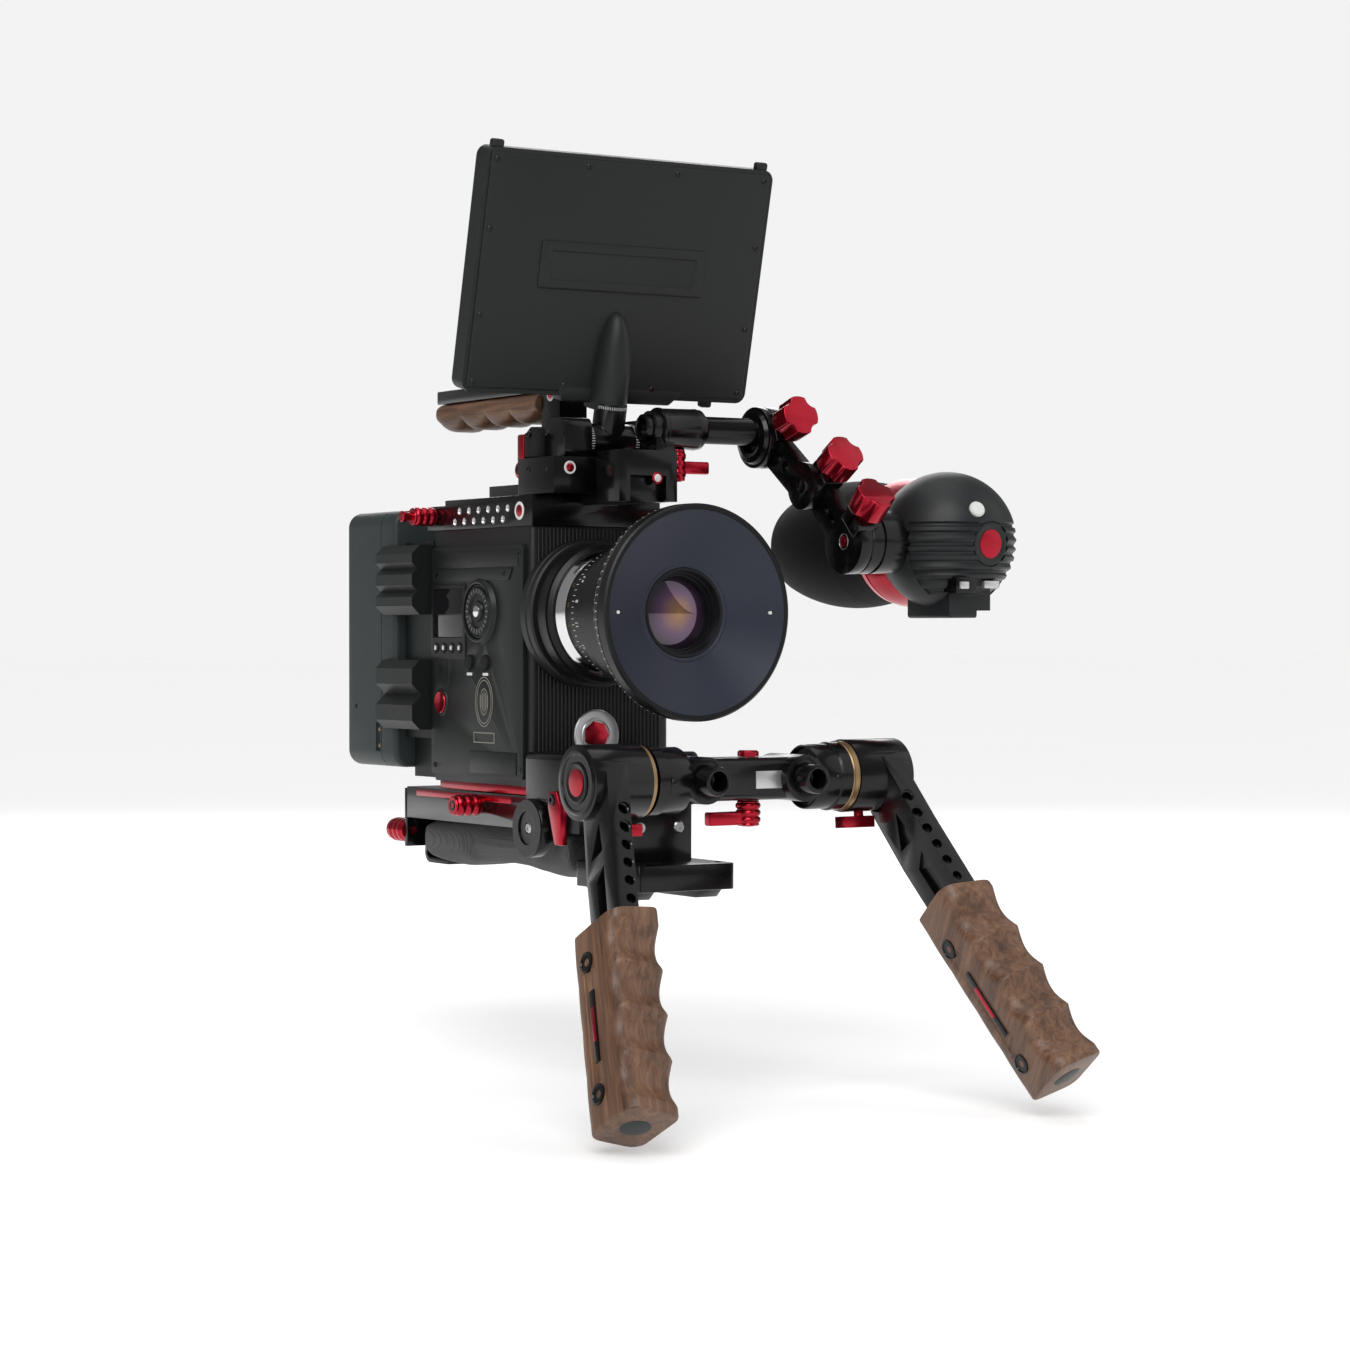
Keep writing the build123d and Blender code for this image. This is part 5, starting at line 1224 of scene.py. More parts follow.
bulge.data.transform(Matrix.Translation((panel_axis, slab_front, 0)) @ Matrix.Diagonal((10.6 * MM,
        14.6 * MM, 1, 1)))
smoothed(bulge, 60)
ready(leaned(bulge), shell_black, "monitor", "body_black")
tabs = [block("tab", (x - 3.6 * MM, slab_front + 1 * MM, z),
              (x + 3.6 * MM, slab_front + 6 * MM, z + 5 * MM), 1.4 * MM, 3)
        for x, z in ((slab_low.x + 7 * MM, slab_high.z - 1 * MM),
                     (slab_high.x - 7 * MM, slab_high.z - 1 * MM),
                     (slab_high.x - 24 * MM, slab_foot - 3.5 * MM))]
ready(leaned(joined("monitor_tabs", *tabs)), shell_black, "monitor", "body_black")
screw_places = [(slab_low.x + 6 * MM + i * (slab_high.x - slab_low.x - 12 * MM) / 3, z)
                for i in range(4) for z in (slab_foot + 6 * MM, slab_high.z - 6 * MM)]
screw_places += [(x, slab_foot + (42 + 46 * i) * MM) for i in range(2) for x in (slab_low.x + 6 * MM,
        slab_high.x - 6 * MM)]
back_screws = [copied(screw_small, "screw", facing((x, slab_front - 1.1 * MM, z), -Y)) for x,
               z in screw_places]
back_screws = leaned(joined("monitor_screws", *back_screws))
ready(back_screws, black_metal, "monitor", "steel")
ready(from_node("monitor_glass", "monitor_screen", edge=0.2 * MM), screen_black, "monitor", "screen",
      "monitor_screen")
keys = [block("key", (slab_low.x + (30 + 16 * i) * MM, slab_high.y - 0.4 * MM, slab_foot + 2.2 * MM),
              (slab_low.x + (40 + 16 * i) * MM, slab_high.y + 0.6 * MM, slab_foot + 5.6 * MM),
              0.5 * MM) for i in range(8)]
ready(leaned(joined("monitor_keys", *keys)), rubber, "monitor", "rubber")

# %% Monitor mount, tilt tube and lock knob
ready(from_node("mount_block", "monitor_mount", edge=0.9 * MM), black_metal, "camera", "body_black",
      "monitor_mount")
ready(from_node("tilt_joint", "tilt_tube", edge=0.6 * MM), black_metal, "tilt_head", "body_black",
      "tilt_tube")


def dial_ticks(name, centre, axis, radius, offsets, start, step, count, length, body):
    """Short raised lines round a turned piece, along its axis."""
    made = []
    model = tick(0.35 * MM, length, 0)
    for offset in offsets:
        for i in range(count):
            line = copied(model, "tick", (0, 0, 0))
            turn = Matrix.Rotation(math.radians(start + i * step), 4, axis)
            out = (Z if abs(axis.z) < 0.9 else X)
            basis = Matrix((axis.cross(out), axis, out)).transposed().to_4x4()
            line.data.transform(Matrix.Translation(centre) @ turn @ Matrix.Translation(axis * offset
                    + out * radius) @ basis)
            made.append(line)
    bpy.data.objects.remove(model)
    return ready(joined(name, *made), paint_white, body, "white_key")


dial_ticks("tilt_scale", tilt_at, X, 10 * MM, (-14.2 * MM, 14.2 * MM), -20, 8, 18, 2.2 * MM, "tilt_head")
stem_scale = dial_ticks("stem_scale", Vector((0, 0, 0)), Z, 9 * MM, (19.6 * MM,), 150, 8, 22, 1.6 * MM,
                        "tilt_head")
stem_scale.data.transform(lean)
low, high, _ = node_box("monitor_knob")
hub = pivot("monitor_knob_turn")
knob = turned("lock_knob",
              [(0, low.z - high.z), (2.5 * MM, low.z - high.z), (2.5 * MM, -17 * MM), (5.4 * MM, -17 * MM),
                            (5.9 * MM, -16.4 * MM), (5.9 * MM, -3.4 * MM), (4.4 * MM, -1.4 * MM),
                            (3.4 * MM, 0), (0, 0)],
              (hub.x, hub.y, high.z), Z, 48)
ribbed(knob, Z, (hub.x, hub.y, high.z), 5.8 * MM, 6.0 * MM, 0.6 * MM)
ready(knob, rubber, "monitor_knob", "body_black", "monitor_knob")
mount_low = node_box("monitor_mount")[0]
screws("mount_screws", screw_small, [(mount_low.x, mount_low.y + (8 + 20 * i) * MM, rail_top + z * MM)
                                     for i in range(2) for z in (5, 24)], -X, "camera")
badge("mount_badge", (mount_low.x + 10 * MM, mount_low.y, rail_top + 5 * MM), -Y, 3.6 * MM, "camera",
      paint_white)

# %% [markdown]
# ## Top handle
# A walnut grip under a black rail. The wood is a rounded section pushed along the machined
# node's length with finger scallops and a wide rounded edge, so the scallops run out softly.

# %% Top handle
walnut_top = walnut_grain("walnut_top", (math.radians(90), 0, 0))
low, high, wood_mid = node_box("handle_wood")
lobe_run = (high.y - low.y - 4 * MM) / 4
stations = []
for i in range(73):
    at = (high.y - low.y) * i / 72
    across = 2 * (((at - 2 * MM) / lobe_run) % 1.0) - 1
    inside = 2 * MM < at < high.y - low.y - 2 * MM
    rise = 6.5 * MM * (1 - math.sqrt(1 - min(0.995, abs(across)) ** 2)) if inside else 5 * MM
    stations.append((at, 1 - rise / (high.z - low.z)))
half_high = (high.z - low.z) / 2
pose = Matrix.Translation((wood_mid.x, low.y, wood_mid.z)) @ Matrix((X, -Z, Y)).transposed().to_4x4()
handle_wood = pushed("walnut_handle", rounded_section((high.x - low.x) / 2, half_high, 7 * MM), stations,
                     -half_high, pose, 1.0 * MM)
ready(handle_wood, walnut_top, "handle", "walnut", "handle_wood")
ready(from_node("handle_rail", "handle_frame", edge=0.9 * MM), black_metal, "handle", "anodised_black",
      "handle_frame")
low, high, _ = node_box("handle_frame")
screws("handle_screws", screw_large,
       [(rail_mid_x, low.y + (28 + 38 * i) * MM, high.z) for i in range(3)], Z, "handle")
badge("handle_badge", (rail_mid_x - 9 * MM, low.y + 10 * MM, high.z - 10 * MM), -X, 3.8 * MM, "handle",
      paint_white)

# %% [markdown]
# ## Viewfinder arm
# A rod in a clamp, two flat links and three star knobs. The links and knobs keep the
# machined shape with broken edges; ears, pockets and screws are added where the clamps are.

# %% Clamp and rod
ready(from_node("rod_clamp", "evf_clamp", edge=0.8 * MM), black_metal, "evf_clamp", "anodised_black",
      "evf_clamp")
ready(from_node("finder_rod", "evf_rod", edge=0.6 * MM), black_metal, "evf_rod", "anodised_black",
      "evf_rod")
clamp_low = node_box("evf_clamp")[0]
rod_low, rod_high, _ = node_box("evf_rod")
rod_point = Vector((0, pivot("evf_clamp_lever_turn").y, rod_high.z - 17 * MM + 3 * MM))
sleeve_left = pivot("evf_clamp_lever_turn").x - 14 * MM
steps = turned("sleeve_steps", [
    (7.7 * MM, -5 * MM), (8.6 * MM, -5 * MM), (9.4 * MM, -4.4 * MM), (9.4 * MM, 0), (11.4 * MM, 0.6 * MM),
    (11.4 * MM, 2.2 * MM), (11.0 * MM, 3 * MM), (11.2 * MM, 22 * MM), (11.4 * MM, 24.6 * MM),
    (10.6 * MM, 26.6 * MM),
    (9.2 * MM, 29 * MM), (7.7 * MM, 29 * MM)], (sleeve_left, rod_point.y, rod_point.z), X, 64)
ready(steps, black_metal, "evf_clamp", "anodised_black")
end_cap = turned("rod_end_cap",
                 [(0, 2 * MM), (4.6 * MM, 2 * MM), (5.4 * MM, -3.4 * MM), (6.4 * MM, -4 * MM),
                  (7.5 * MM, -3.2 * MM),
                                 (7.5 * MM, 1 * MM), (7 * MM, 4 * MM), (0, 4 * MM)],
                                 (rod_low.x, rod_point.y, rod_point.z), X, 48)
ready(end_cap, black_metal, "evf_rod", "anodised_black")
badge("clamp_badge", (clamp_low.x + 24 * MM, clamp_low.y, rail_top - 1 * MM), -Y, 3.2 * MM, "evf_clamp",
      crimson_metal, paint_white)

# %% Links, ears and star knobs
hubs = [pivot("link_one_turn"), pivot("link_two_turn"), pivot("viewfinder_turn")]
for number, node, body in ((1, "link_one", "link_one"), (2, "link_two", "link_two")):
    start, end = hubs[number - 1], hubs[number]
    arm = from_node("arm_link_%d" % number, node, edge=0.9 * MM)
    run = end - start
    run.x = 0
    cutters = []
    side_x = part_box(node)[1].x
    for share in (0.42, 0.6):
        spot = start + run * share
        cutters.append(turned("drill",
                              [(0, -20 * MM), (3.2 * MM, -20 * MM), (3.2 * MM, 2 * MM), (0, 2 * MM)],
                              (side_x, spot.y, spot.z), X, 24))
    ready(cut(arm, *cutters), black_metal, body, "anodised_black", node)

knob_bodies = ["link_one", "link_two", "link_two"]
for i, body in enumerate(knob_bodies):
    name = "star_knob_%d" % (i + 1)
    turn_axis = Vector(joints[name + "_turn"]["axis"])
    centre = pivot(name + "_turn")
    knob = from_node("crimson_star_%d" % (i + 1), name, edge=1.3 * MM, segments=3, angle=50)
    ready(knob, crimson_metal, name, "crimson", name)
    reach = max((v.co - centre).dot(turn_axis) for v in frame["nodes"][name].data.vertices)
    cone_base = turned("knob_skirt_%d" % (i + 1),
                       [(0, -4 * MM), (5 * MM, -4 * MM), (7.6 * MM, 0.4 * MM), (7.6 * MM, 1.4 * MM),
                        (0, 1.4 * MM)],
                       centre + turn_axis * (reach - 13.6 * MM), turn_axis, 32)
    ready(cone_base, crimson_metal, name, "crimson")
    ear_top = reach - 13 * MM - 4.6 * MM
    ear = block("clamp_ear_%d" % (i + 1), (-8 * MM, -6.5 * MM, ear_top - 9 * MM),
                (8 * MM, 6.5 * MM, ear_top), 1 * MM, 3)
    slit = block("slit", (-0.9 * MM, -9 * MM, ear_top - 7 * MM), (0.9 * MM, 9 * MM, ear_top + 2 * MM),
                 0.1 * MM, 1)
    bore = turned("bore", [(0, -30 * MM), (3.3 * MM, -30 * MM), (3.3 * MM, 40 * MM), (0, 40 * MM)],
                  (0, 0, 0), Z, 24)
    ear = cut(cut(ear, slit), bore)
    side = X
    across = turn_axis.cross(side)
    ear.data.transform(Matrix.Translation(centre) @ Matrix((across, -side,
                                                            turn_axis)).transposed().to_4x4())
    ready(ear, black_metal, body, "anodised_black")

ring_low = min(v.co.x for v in frame["nodes"]["link_two"].data.vertices
               if (v.co - hubs[2]).yz.length < 17 * MM)
hub_screws = [hubs[2] + Vector((ring_low - hubs[2].x, 11.5 * MM * math.cos(a), 11.5 * MM * math.sin(a)))
              for a in [math.tau * i / 7 for i in range(7)]]
screws("hub_screws", screw_small, hub_screws, -X, "link_two")
badge("hub_badge", hubs[2] + X * (ring_low - hubs[2].x), -X, 4.6 * MM, "link_two", steel)
rod_face = rod_high.x - 5 * MM
disc_ring = turned("hub_flange",
                   [(9 * MM, -2.4 * MM), (11 * MM, -3 * MM), (14 * MM, -2 * MM), (15.4 * MM, 0.4 * MM),
                    (9 * MM, 0.4 * MM)],
                   (rod_face, hubs[0].y, hubs[0].z), X, 64)
ready(disc_ring, black_metal, "evf_rod", "anodised_black")

# %% [markdown]
# ## Viewfinder
# The eyepiece housing is a ball with level grooves, so it is spun about an upright axis and
# its flat rear is cut by a bisect. A crimson ring, a switch block and a rubber cup follow.

# %% Viewfinder ball
ball_low = node_box("evf_body")[0]
_, _, cup_mid = node_box("eyecup")
cup_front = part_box("eyecup")[0].y
ball_mid = Vector((cup_mid.x, cup_front - 39.3 * MM, cup_mid.z))
groove_rows = [(-28 + 5.2 * i) for i in range(8)]


def groove_depth(height):
    """Depth of the level grooves at a height above the ball's middle, in millimetres."""
    nearest = min(abs(height - row) for row in groove_rows)
    return 1.3 if nearest < 1.0 else (0.65 if nearest < 1.35 else 0.0)


def ball_profile(grooved):
    points = []
    for i in range(121):
        lat = math.radians(-90 + 1.5 * i)
        height = 38 * math.sin(lat)
        depth = groove_depth(height) if grooved else 0
        points.append(((38 - depth) * math.cos(lat) * MM if 0 < i < 120 else 0,
                       (38 - depth) * math.sin(lat) * MM))
    return points


smooth_ball = turned("ball_shell", ball_profile(False), ball_mid, Z, 128, 40)
grooved_ball = turned("ball_grooves", ball_profile(True), ball_mid, Z, 128, 25)

split_y = ball_mid.y - 12 * MM
rear_y = ball_mid.y + 31 * MM
ball_rear = sliced(sliced(smooth_ball, (0, rear_y, 0), Y), (0, split_y, 0), -Y)
ball_front = sliced(grooved_ball, (0, split_y, 0), Y)
button_axis = -Vector(joints["evf_button_push"]["axis"])
button_well = turned("well", [(0, -4 * MM), (4.8 * MM, -4 * MM), (4.8 * MM, 6 * MM), (0, 6 * MM)],
                     ball_mid + button_axis * 37 * MM, button_axis, 32)
badge_axis = Vector((0.10, -0.98, -0.06)).normalized()
badge_well = turned("well", [(0, -2.2 * MM), (12.4 * MM, -2.2 * MM), (12.4 * MM, 9 * MM), (0, 9 * MM)],
                    ball_mid + badge_axis * 36.5 * MM, badge_axis, 48)
ready(cut(ball_front, button_well, badge_well), ball_black, "viewfinder", "body_black", "evf_body")
ready(ball_rear, ball_black, "viewfinder", "body_black")
badge("finder_badge", ball_mid + badge_axis * 34.8 * MM, badge_axis, 11.8 * MM, "viewfinder",
      ball_black, crimson_metal)
cap = turned("finder_button",
             [(0, -4 * MM), (4.4 * MM, -4 * MM), (4.4 * MM, 0.6 * MM), (3.6 * MM, 1.6 * MM), (0, 2.1 * MM)],
             ball_mid + button_axis * 38 * MM, button_axis, 40)
ready(cap, white_key, "evf_button", "white_key", "evf_button")
collar = turned("finder_collar", [
    (22 * MM, -15 * MM), (34 * MM, -14 * MM), (35.6 * MM, -6 * MM), (35.8 * MM, 1 * MM),
    (35 * MM, 1.6 * MM), (34.6 * MM, 3 * MM),
    (35.2 * MM, 3.6 * MM), (34.6 * MM, 7.4 * MM), (33 * MM, 8 * MM), (22 * MM, 8 * MM)],
    (cup_mid.x, rear_y, cup_mid.z), Y, 96)
ready(collar, crimson_metal, "viewfinder", "crimson")
eye_tube = turned("eyepiece_tube",
                  [(21 * MM, -4 * MM), (25 * MM, -4 * MM), (25 * MM, 27 * MM), (24 * MM, 28 * MM),
                   (21.6 * MM, 28 * MM), (21 * MM, 27 * MM)],
                  (cup_mid.x, rear_y, cup_mid.z), Y, 96)
ready(eye_tube, lens_black, "viewfinder", "body_black")
eye_lens = turned("eyepiece_lens",
                  [(0, 8 * MM), (21.2 * MM, 8 * MM), (21.2 * MM, 17 * MM), (14 * MM, 19.4 * MM),
                   (7 * MM, 20.6 * MM), (0, 21 * MM)],
                  (cup_mid.x, rear_y, cup_mid.z), Y, 64, 60)
eye_tint = coated_glass("eyepiece_coating", (0.02, 0.06, 0.05), (0.05, 0.03, 0.09),
                        (cup_mid.x, 0, cup_mid.z), 0.021)
ready(eye_lens, eye_tint, "viewfinder", "glass")
finder_hub = hubs[2]
barrel = turned("finder_barrel", [
    (0, 0.3 * MM), (16.4 * MM, 0.3 * MM), (17.4 * MM, 1.3 * MM), (17.4 * MM, 7 * MM),
    (16.2 * MM, 7.6 * MM), (16.2 * MM, 9 * MM),
    (17.2 * MM, 9.6 * MM), (17.2 * MM, 34 * MM), (16.4 * MM, 36 * MM), (0, 36 * MM)],
    (node_box("link_two")[1].x, finder_hub.y, finder_hub.z), X, 72)
ready(barrel, black_metal, "viewfinder", "anodised_black")
foot_low = ball_low.z
foot = block("finder_foot", (ball_mid.x - 14 * MM, ball_mid.y - 22 * MM, foot_low),
             (ball_mid.x + 14 * MM, ball_mid.y + 18 * MM, ball_mid.z - 20 * MM), 1.6 * MM, 3)
foot_cut = block("foot_cut", (ball_mid.x + 4 * MM, ball_mid.y - 30 * MM, foot_low - 2 * MM),
                 (ball_mid.x + 20 * MM, ball_mid.y + 30 * MM, foot_low + 4 * MM), 0.4 * MM)
ready(cut(foot, foot_cut), ball_black, "viewfinder", "body_black")
switch = block("finder_switch", (ball_mid.x - 17 * MM, ball_mid.y - 31.5 * MM, ball_mid.z - 29 * MM),
               (ball_mid.x - 3 * MM, ball_mid.y - 20 * MM, ball_mid.z - 20 * MM), 0.7 * MM)
ready(switch, black_metal, "viewfinder", "body_black")
toggle = block("switch_toggle", (ball_mid.x - 15 * MM, ball_mid.y - 32.8 * MM, ball_mid.z - 26.5 * MM),
               (ball_mid.x - 9 * MM, ball_mid.y - 30.5 * MM, ball_mid.z - 22.5 * MM), 0.6 * MM)
ready(toggle, silver, "viewfinder", "chrome")
label = block("foot_label", (ball_mid.x + 2 * MM, ball_mid.y - 31.6 * MM, ball_mid.z - 26 * MM),
              (ball_mid.x + 12 * MM, ball_mid.y - 24 * MM, ball_mid.z - 22 * MM), 0.3 * MM)
ready(label, silver, "viewfinder", "chrome")

# %% Eyecup
cup_low, cup_high, _ = node_box("eyecup")
cup_len = cup_high.y - cup_low.y


def cup_radius(t):
    """Outer radius along the cup, from its front (0) to its mouth (1)."""
    front_r, mid_r, rear_r = 29 * MM, 36 * MM, 27 * MM
    edge = front_r + (rear_r - front_r) * t
    return edge + (mid_r - (front_r + rear_r) / 2) * (1 - (2 * t - 1) ** 2)


outer = [(cup_radius(i / 40) - (0.5 * MM if i in (5, 7, 9) else 0), cup_len * i / 40) for i in range(40)]
lip = [(cup_radius(1) + 0.4 * MM, cup_len - 1.4 * MM), (cup_radius(1) - 0.2 * MM, cup_len),
       (cup_radius(1) - 2.2 * MM, cup_len)]
inner = [(cup_radius(i / 40) - 3 * MM, cup_len * i / 40) for i in range(39, 8, -1)]
cup = turned("eye_cup", [(25.05 * MM, 0)] + outer + lip + inner + [(25.05 * MM, 20.5 * MM)],
             (cup_mid.x, cup_low.y, cup_mid.z), Y, 96, 50)
ready(cup, rubber, "eyecup", "rubber", "eyecup")
print("viewfinder ball at", [round(v, 4) for v in ball_mid])


# %% [markdown]
# ## Front grips
# The crossbar, its toothed gold rings, two drilled arms and two walnut grips. The arms swing,
# so everything on an arm rides with that arm, and the gold rings stay with the bar.

# %% Crossbar
ready(from_node("front_bar", "crossbar", edge=0.9 * MM), black_metal, "crossbar", "anodised_black",
      "crossbar")
maker_plate = block("blank_plate", (bar_mid.x + 3 * MM, bar_mid.y - 10.7 * MM, hub.z - 5 * MM),
                    (bar_mid.x + 20 * MM, bar_mid.y - 9.6 * MM, hub.z + 4 * MM), 0.3 * MM)
bar_axis = Vector((bar_mid.x, pivot("left_grip_swing").y, pivot("left_grip_swing").z))
maker_plate.data.transform(Matrix.Translation((0, 0, bar_axis.z - hub.z)))
ready(maker_plate, silver, "crossbar", "chrome")
for side, name in ((-1, "left"), (1, "right")):
    ring = turned("toothed_ring_" + name,
                  [(12 * MM, -2.6 * MM), (17.4 * MM, -2.6 * MM), (17.8 * MM, -2 * MM),
                   (17.8 * MM, 0.9 * MM), (17.2 * MM, 1.3 * MM), (12 * MM, 1.3 * MM)],
                  bar_axis + X * side * 61.6 * MM, X, 144)
    ribbed(ring, X, bar_axis + X * side * 61.6 * MM, 17.7 * MM, 17.9 * MM, 0.5 * MM)
    ready(ring, gold_metal, "crossbar", "steel")
    band = turned("housing_band_" + name, [
        (15.4 * MM, -20 * MM), (16.4 * MM, -20 * MM), (16.9 * MM, -19 * MM), (16.9 * MM, -7 * MM),
        (17.8 * MM, -6 * MM), (17.8 * MM, 0), (15.4 * MM, 0)],
        bar_axis + X * side * 58.6 * MM, X * side, 72)
    ready(band, black_metal, "crossbar", "anodised_black")
screws("housing_screws", screw_small,
       [bar_axis + Vector((side * 50 * MM, -16.9 * MM, 0)) for side in (-1, 1)], -Y, "crossbar")
ready(from_node("guide_rods", "support_rods", edge=0.7 * MM), black_metal, "base", "anodised_black",
      "support_rods")

# %% [markdown]
# Each arm and grip hangs at its own swing and splays outwards. The places of its holes and
# screws are worked out in the grip's own frame, read from the walnut node's vertices: its
# long direction is the direction that they spread most.

# %% Arms and grips
def long_direction(points):
    """Direction in which a piece is longest, pointing down."""
    middle = sum(points, Vector()) / len(points)
    way = Vector((0.3, -0.4, -1)).normalized()
    for _ in range(30):
        way = sum(((p - middle) * (p - middle).dot(way) for p in points), Vector()).normalized()
    return way if way.z < 0 else -way


for side, name in ((-1, "left"), (1, "right")):
    swing_at = pivot(name + "_grip_swing")
    arm_points = [v.co.copy() for v in frame["nodes"][name + "_arm"].data.vertices]
    grip_points = [v.co.copy() for v in frame["nodes"][name + "_grip"].data.vertices]
    arm_body = name + "_arm"
    # the grip's own frame: down along the wood, out to the side, and forward
    down = long_direction(grip_points)
    fore = (-Y - down * (-Y).dot(down)).normalized()
    wide = down.cross(fore).normalized() * side
    if wide.x * side < 0:
        wide = -wide
    grip_mid = sum(grip_points, Vector()) / len(grip_points)
    along = [(p - grip_mid).dot(down) for p in grip_points]
    outs = [(p - grip_mid).dot(wide) for p in grip_points]
    fores = [(p - grip_mid).dot(fore) for p in grip_points]
    centre = grip_mid + wide * (max(outs) + min(outs)) / 2
    frame_turn = Matrix((wide, fore, -down)).transposed()
    turn = frame_turn.to_euler()
    wood = walnut_grain("walnut_" + name, tuple(turn))
    hang = (down - X * down.x).normalized()
    level = min((p - swing_at).dot(hang) for p in grip_points)
    deep = (max(fores) - min(fores)) / 2
    heart = centre + fore * (max(fores) + min(fores)) / 2
    top_at = (level - (heart - swing_at).dot(hang)) / down.dot(hang)
    reach = max(along)
    stations = []
    for i in range(61):
        at = min(along) - 1 * MM + (reach - min(along) + 1 * MM) * i / 60
        finger = max(0.0, 1 - min(abs(at - top_at - pitch * MM) for pitch in (18, 42, 66,
                90)) / (12.2 * MM))
        stations.append((-at, 1 - 5.6 * MM * math.sin(finger * math.pi / 2) / (2 * deep)))
    pose = Matrix.Translation(heart) @ Matrix((fore.cross(-down), fore, -down)).transposed().to_4x4()
    section = rounded_section((max(outs) - min(outs)) / 2, deep, 7.5 * MM)
    grip = pushed("walnut_grip_" + name, section, stations, -deep, pose, 1.1 * MM)
    grip = eased(sliced(grip, swing_at + hang * level, -hang), 1.2 * MM, 3, 55)
    side_panels = []
    for face in (-1, 1):
        hollow = block("side_panel", (-1.0 * MM, -5.5 * MM, -30 * MM), (3 * MM, 5.5 * MM, 30 * MM),
                       0.9 * MM, 3)
        spot = centre + wide * face * (max(outs) - min(outs)) / 2 + down * (min(along) + max(along)
                + 6 * MM) / 2
        spot = spot + fore * (min(fores) + 14.5 * MM - (spot - grip_mid).dot(fore))
        hollow.data.transform(Matrix.Translation(spot) @ Matrix(
            (wide * face, fore, (wide * face).cross(fore))).transposed().to_4x4())
        side_panels.append(hollow)
    ready(cut(grip, *side_panels), wood, arm_body, "walnut", name + "_grip")
    half_wide = (max(outs) - min(outs)) / 2
    rear = min(fores)
    for face in (-1, 1):
        face_at = centre + wide * face * (half_wide + 0.3 * MM)
        spots = [face_at + down * t for t in (min(along) + 24 * MM, max(along) - 17 * MM)]
        washers = []
        for spot in spots:
            spot = spot + fore * (rear + 13.5 * MM - (spot - grip_mid).dot(fore))
            washers.append(turned("washer",
                                  [(0, -2 * MM), (5.2 * MM, -2 * MM), (5.2 * MM, 0.35 * MM),
                                   (4.4 * MM, 0.5 * MM), (4.0 * MM, -0.1 * MM),
                                             (2.0 * MM, -0.1 * MM), (1.8 * MM, -0.9 * MM),
                                             (0, -0.9 * MM)], spot, wide * face, 32))
        ready(joined("grip_screws_%s_%d" % (name, face + 2), *washers), black_metal, arm_body, "steel")
        inlay = block("inlay", (-1.6 * MM, -2.0 * MM, -19 * MM), (-0.55 * MM, 2.0 * MM, 19 * MM),
                      0.25 * MM, 2)
        label = block("label", (-1.0 * MM, -1.3 * MM, -8 * MM), (-0.3 * MM, 1.3 * MM, 10 * MM),
                      0.15 * MM, 2)
        spot = face_at + down * (min(along) + max(along) + 6 * MM) / 2
        spot = spot + fore * (rear + 14.5 * MM - (spot - grip_mid).dot(fore))
        pose = Matrix.Translation(spot) @ Matrix((wide * face, fore,
                                                  (wide * face).cross(fore))).transposed().to_4x4()
        inlay.data.transform(pose)
        label.data.transform(pose)
        inlay.name = "grip_inlay_%s_%d" % (name, face + 2)
        label.name = "grip_label_%s_%d" % (name, face + 2)
        ready(inlay, black_metal, arm_body, "anodised_black")
        ready(label, crimson_metal, arm_body, "crimson")
    plug_at = centre + down * (max(along) - 0.2 * MM)
    plug_at = plug_at + fore * ((max(fores) + rear) / 2 - (plug_at - grip_mid).dot(fore))
    plug = turned("grip_plug_" + name,
                  [(0, -1 * MM), (7.6 * MM, -1 * MM), (7.6 * MM, 0.2 * MM), (7 * MM, 0.5 * MM),
                   (0, 0.6 * MM)],
                  plug_at, down, 40)
    ready(plug, battery_grey, arm_body, "body_black")

    # the arm: dimples up the front bar and the rear bar, and a blank disc on its hub
    arm = from_node("grip_arm_" + name, name + "_arm", edge=0.8 * MM)
    arm_far = max((p - swing_at).dot(down) for p in arm_points)
    drills = []
    for count, step, first, face_way in ((6, 10 * MM, 9 * MM, fore), (3, 9.4 * MM, 9 * MM, -fore)):
        for i in range(count):
            level = arm_far - first - i * step
            reach = max((p - swing_at).dot(face_way) for p in arm_points
                        if (p - swing_at).dot(down) > arm_far - 3 * MM)
            spot = swing_at + down * level + face_way * reach
            drills.append(turned("drill",
                                 [(0, -3.4 * MM), (2.3 * MM, -3.4 * MM), (2.7 * MM, 0),
                                  (3.4 * MM, 0.7 * MM), (3.4 * MM, 6 * MM), (0, 6 * MM)],
                                 spot + wide * ((centre - spot).dot(wide)), face_way, 20))
    ready(cut(arm, *drills), black_metal, arm_body, "anodised_black", name + "_arm")
    hub_face = max(p.x * side for p in arm_points if (p - swing_at).yz.length < 20 * MM) * side
    disc = turned("hub_disc_" + name,
                  [(0, 0), (16.6 * MM, 0), (16.6 * MM, 0.5 * MM), (15.6 * MM, 1.2 * MM),
                   (14.4 * MM, 1.2 * MM),
                                       (13.8 * MM, 0.6 * MM), (0, 0.6 * MM)],
                                       (hub_face - side * 0.2 * MM, swing_at.y, swing_at.z), X * side, 64)
    ready(disc, black_metal, arm_body, "anodised_black")
    badge("hub_sign_" + name, (hub_face + side * 0.6 * MM, swing_at.y, swing_at.z), X * side, 10.5 * MM,
          arm_body, lens_black, crimson_metal)
    trigger = from_node("grip_trigger_" + name, name + "_trigger", edge=1.1 * MM, segments=3)
    ready(trigger, crimson_metal, name + "_trigger", "crimson", name + "_trigger")
print("grips done")

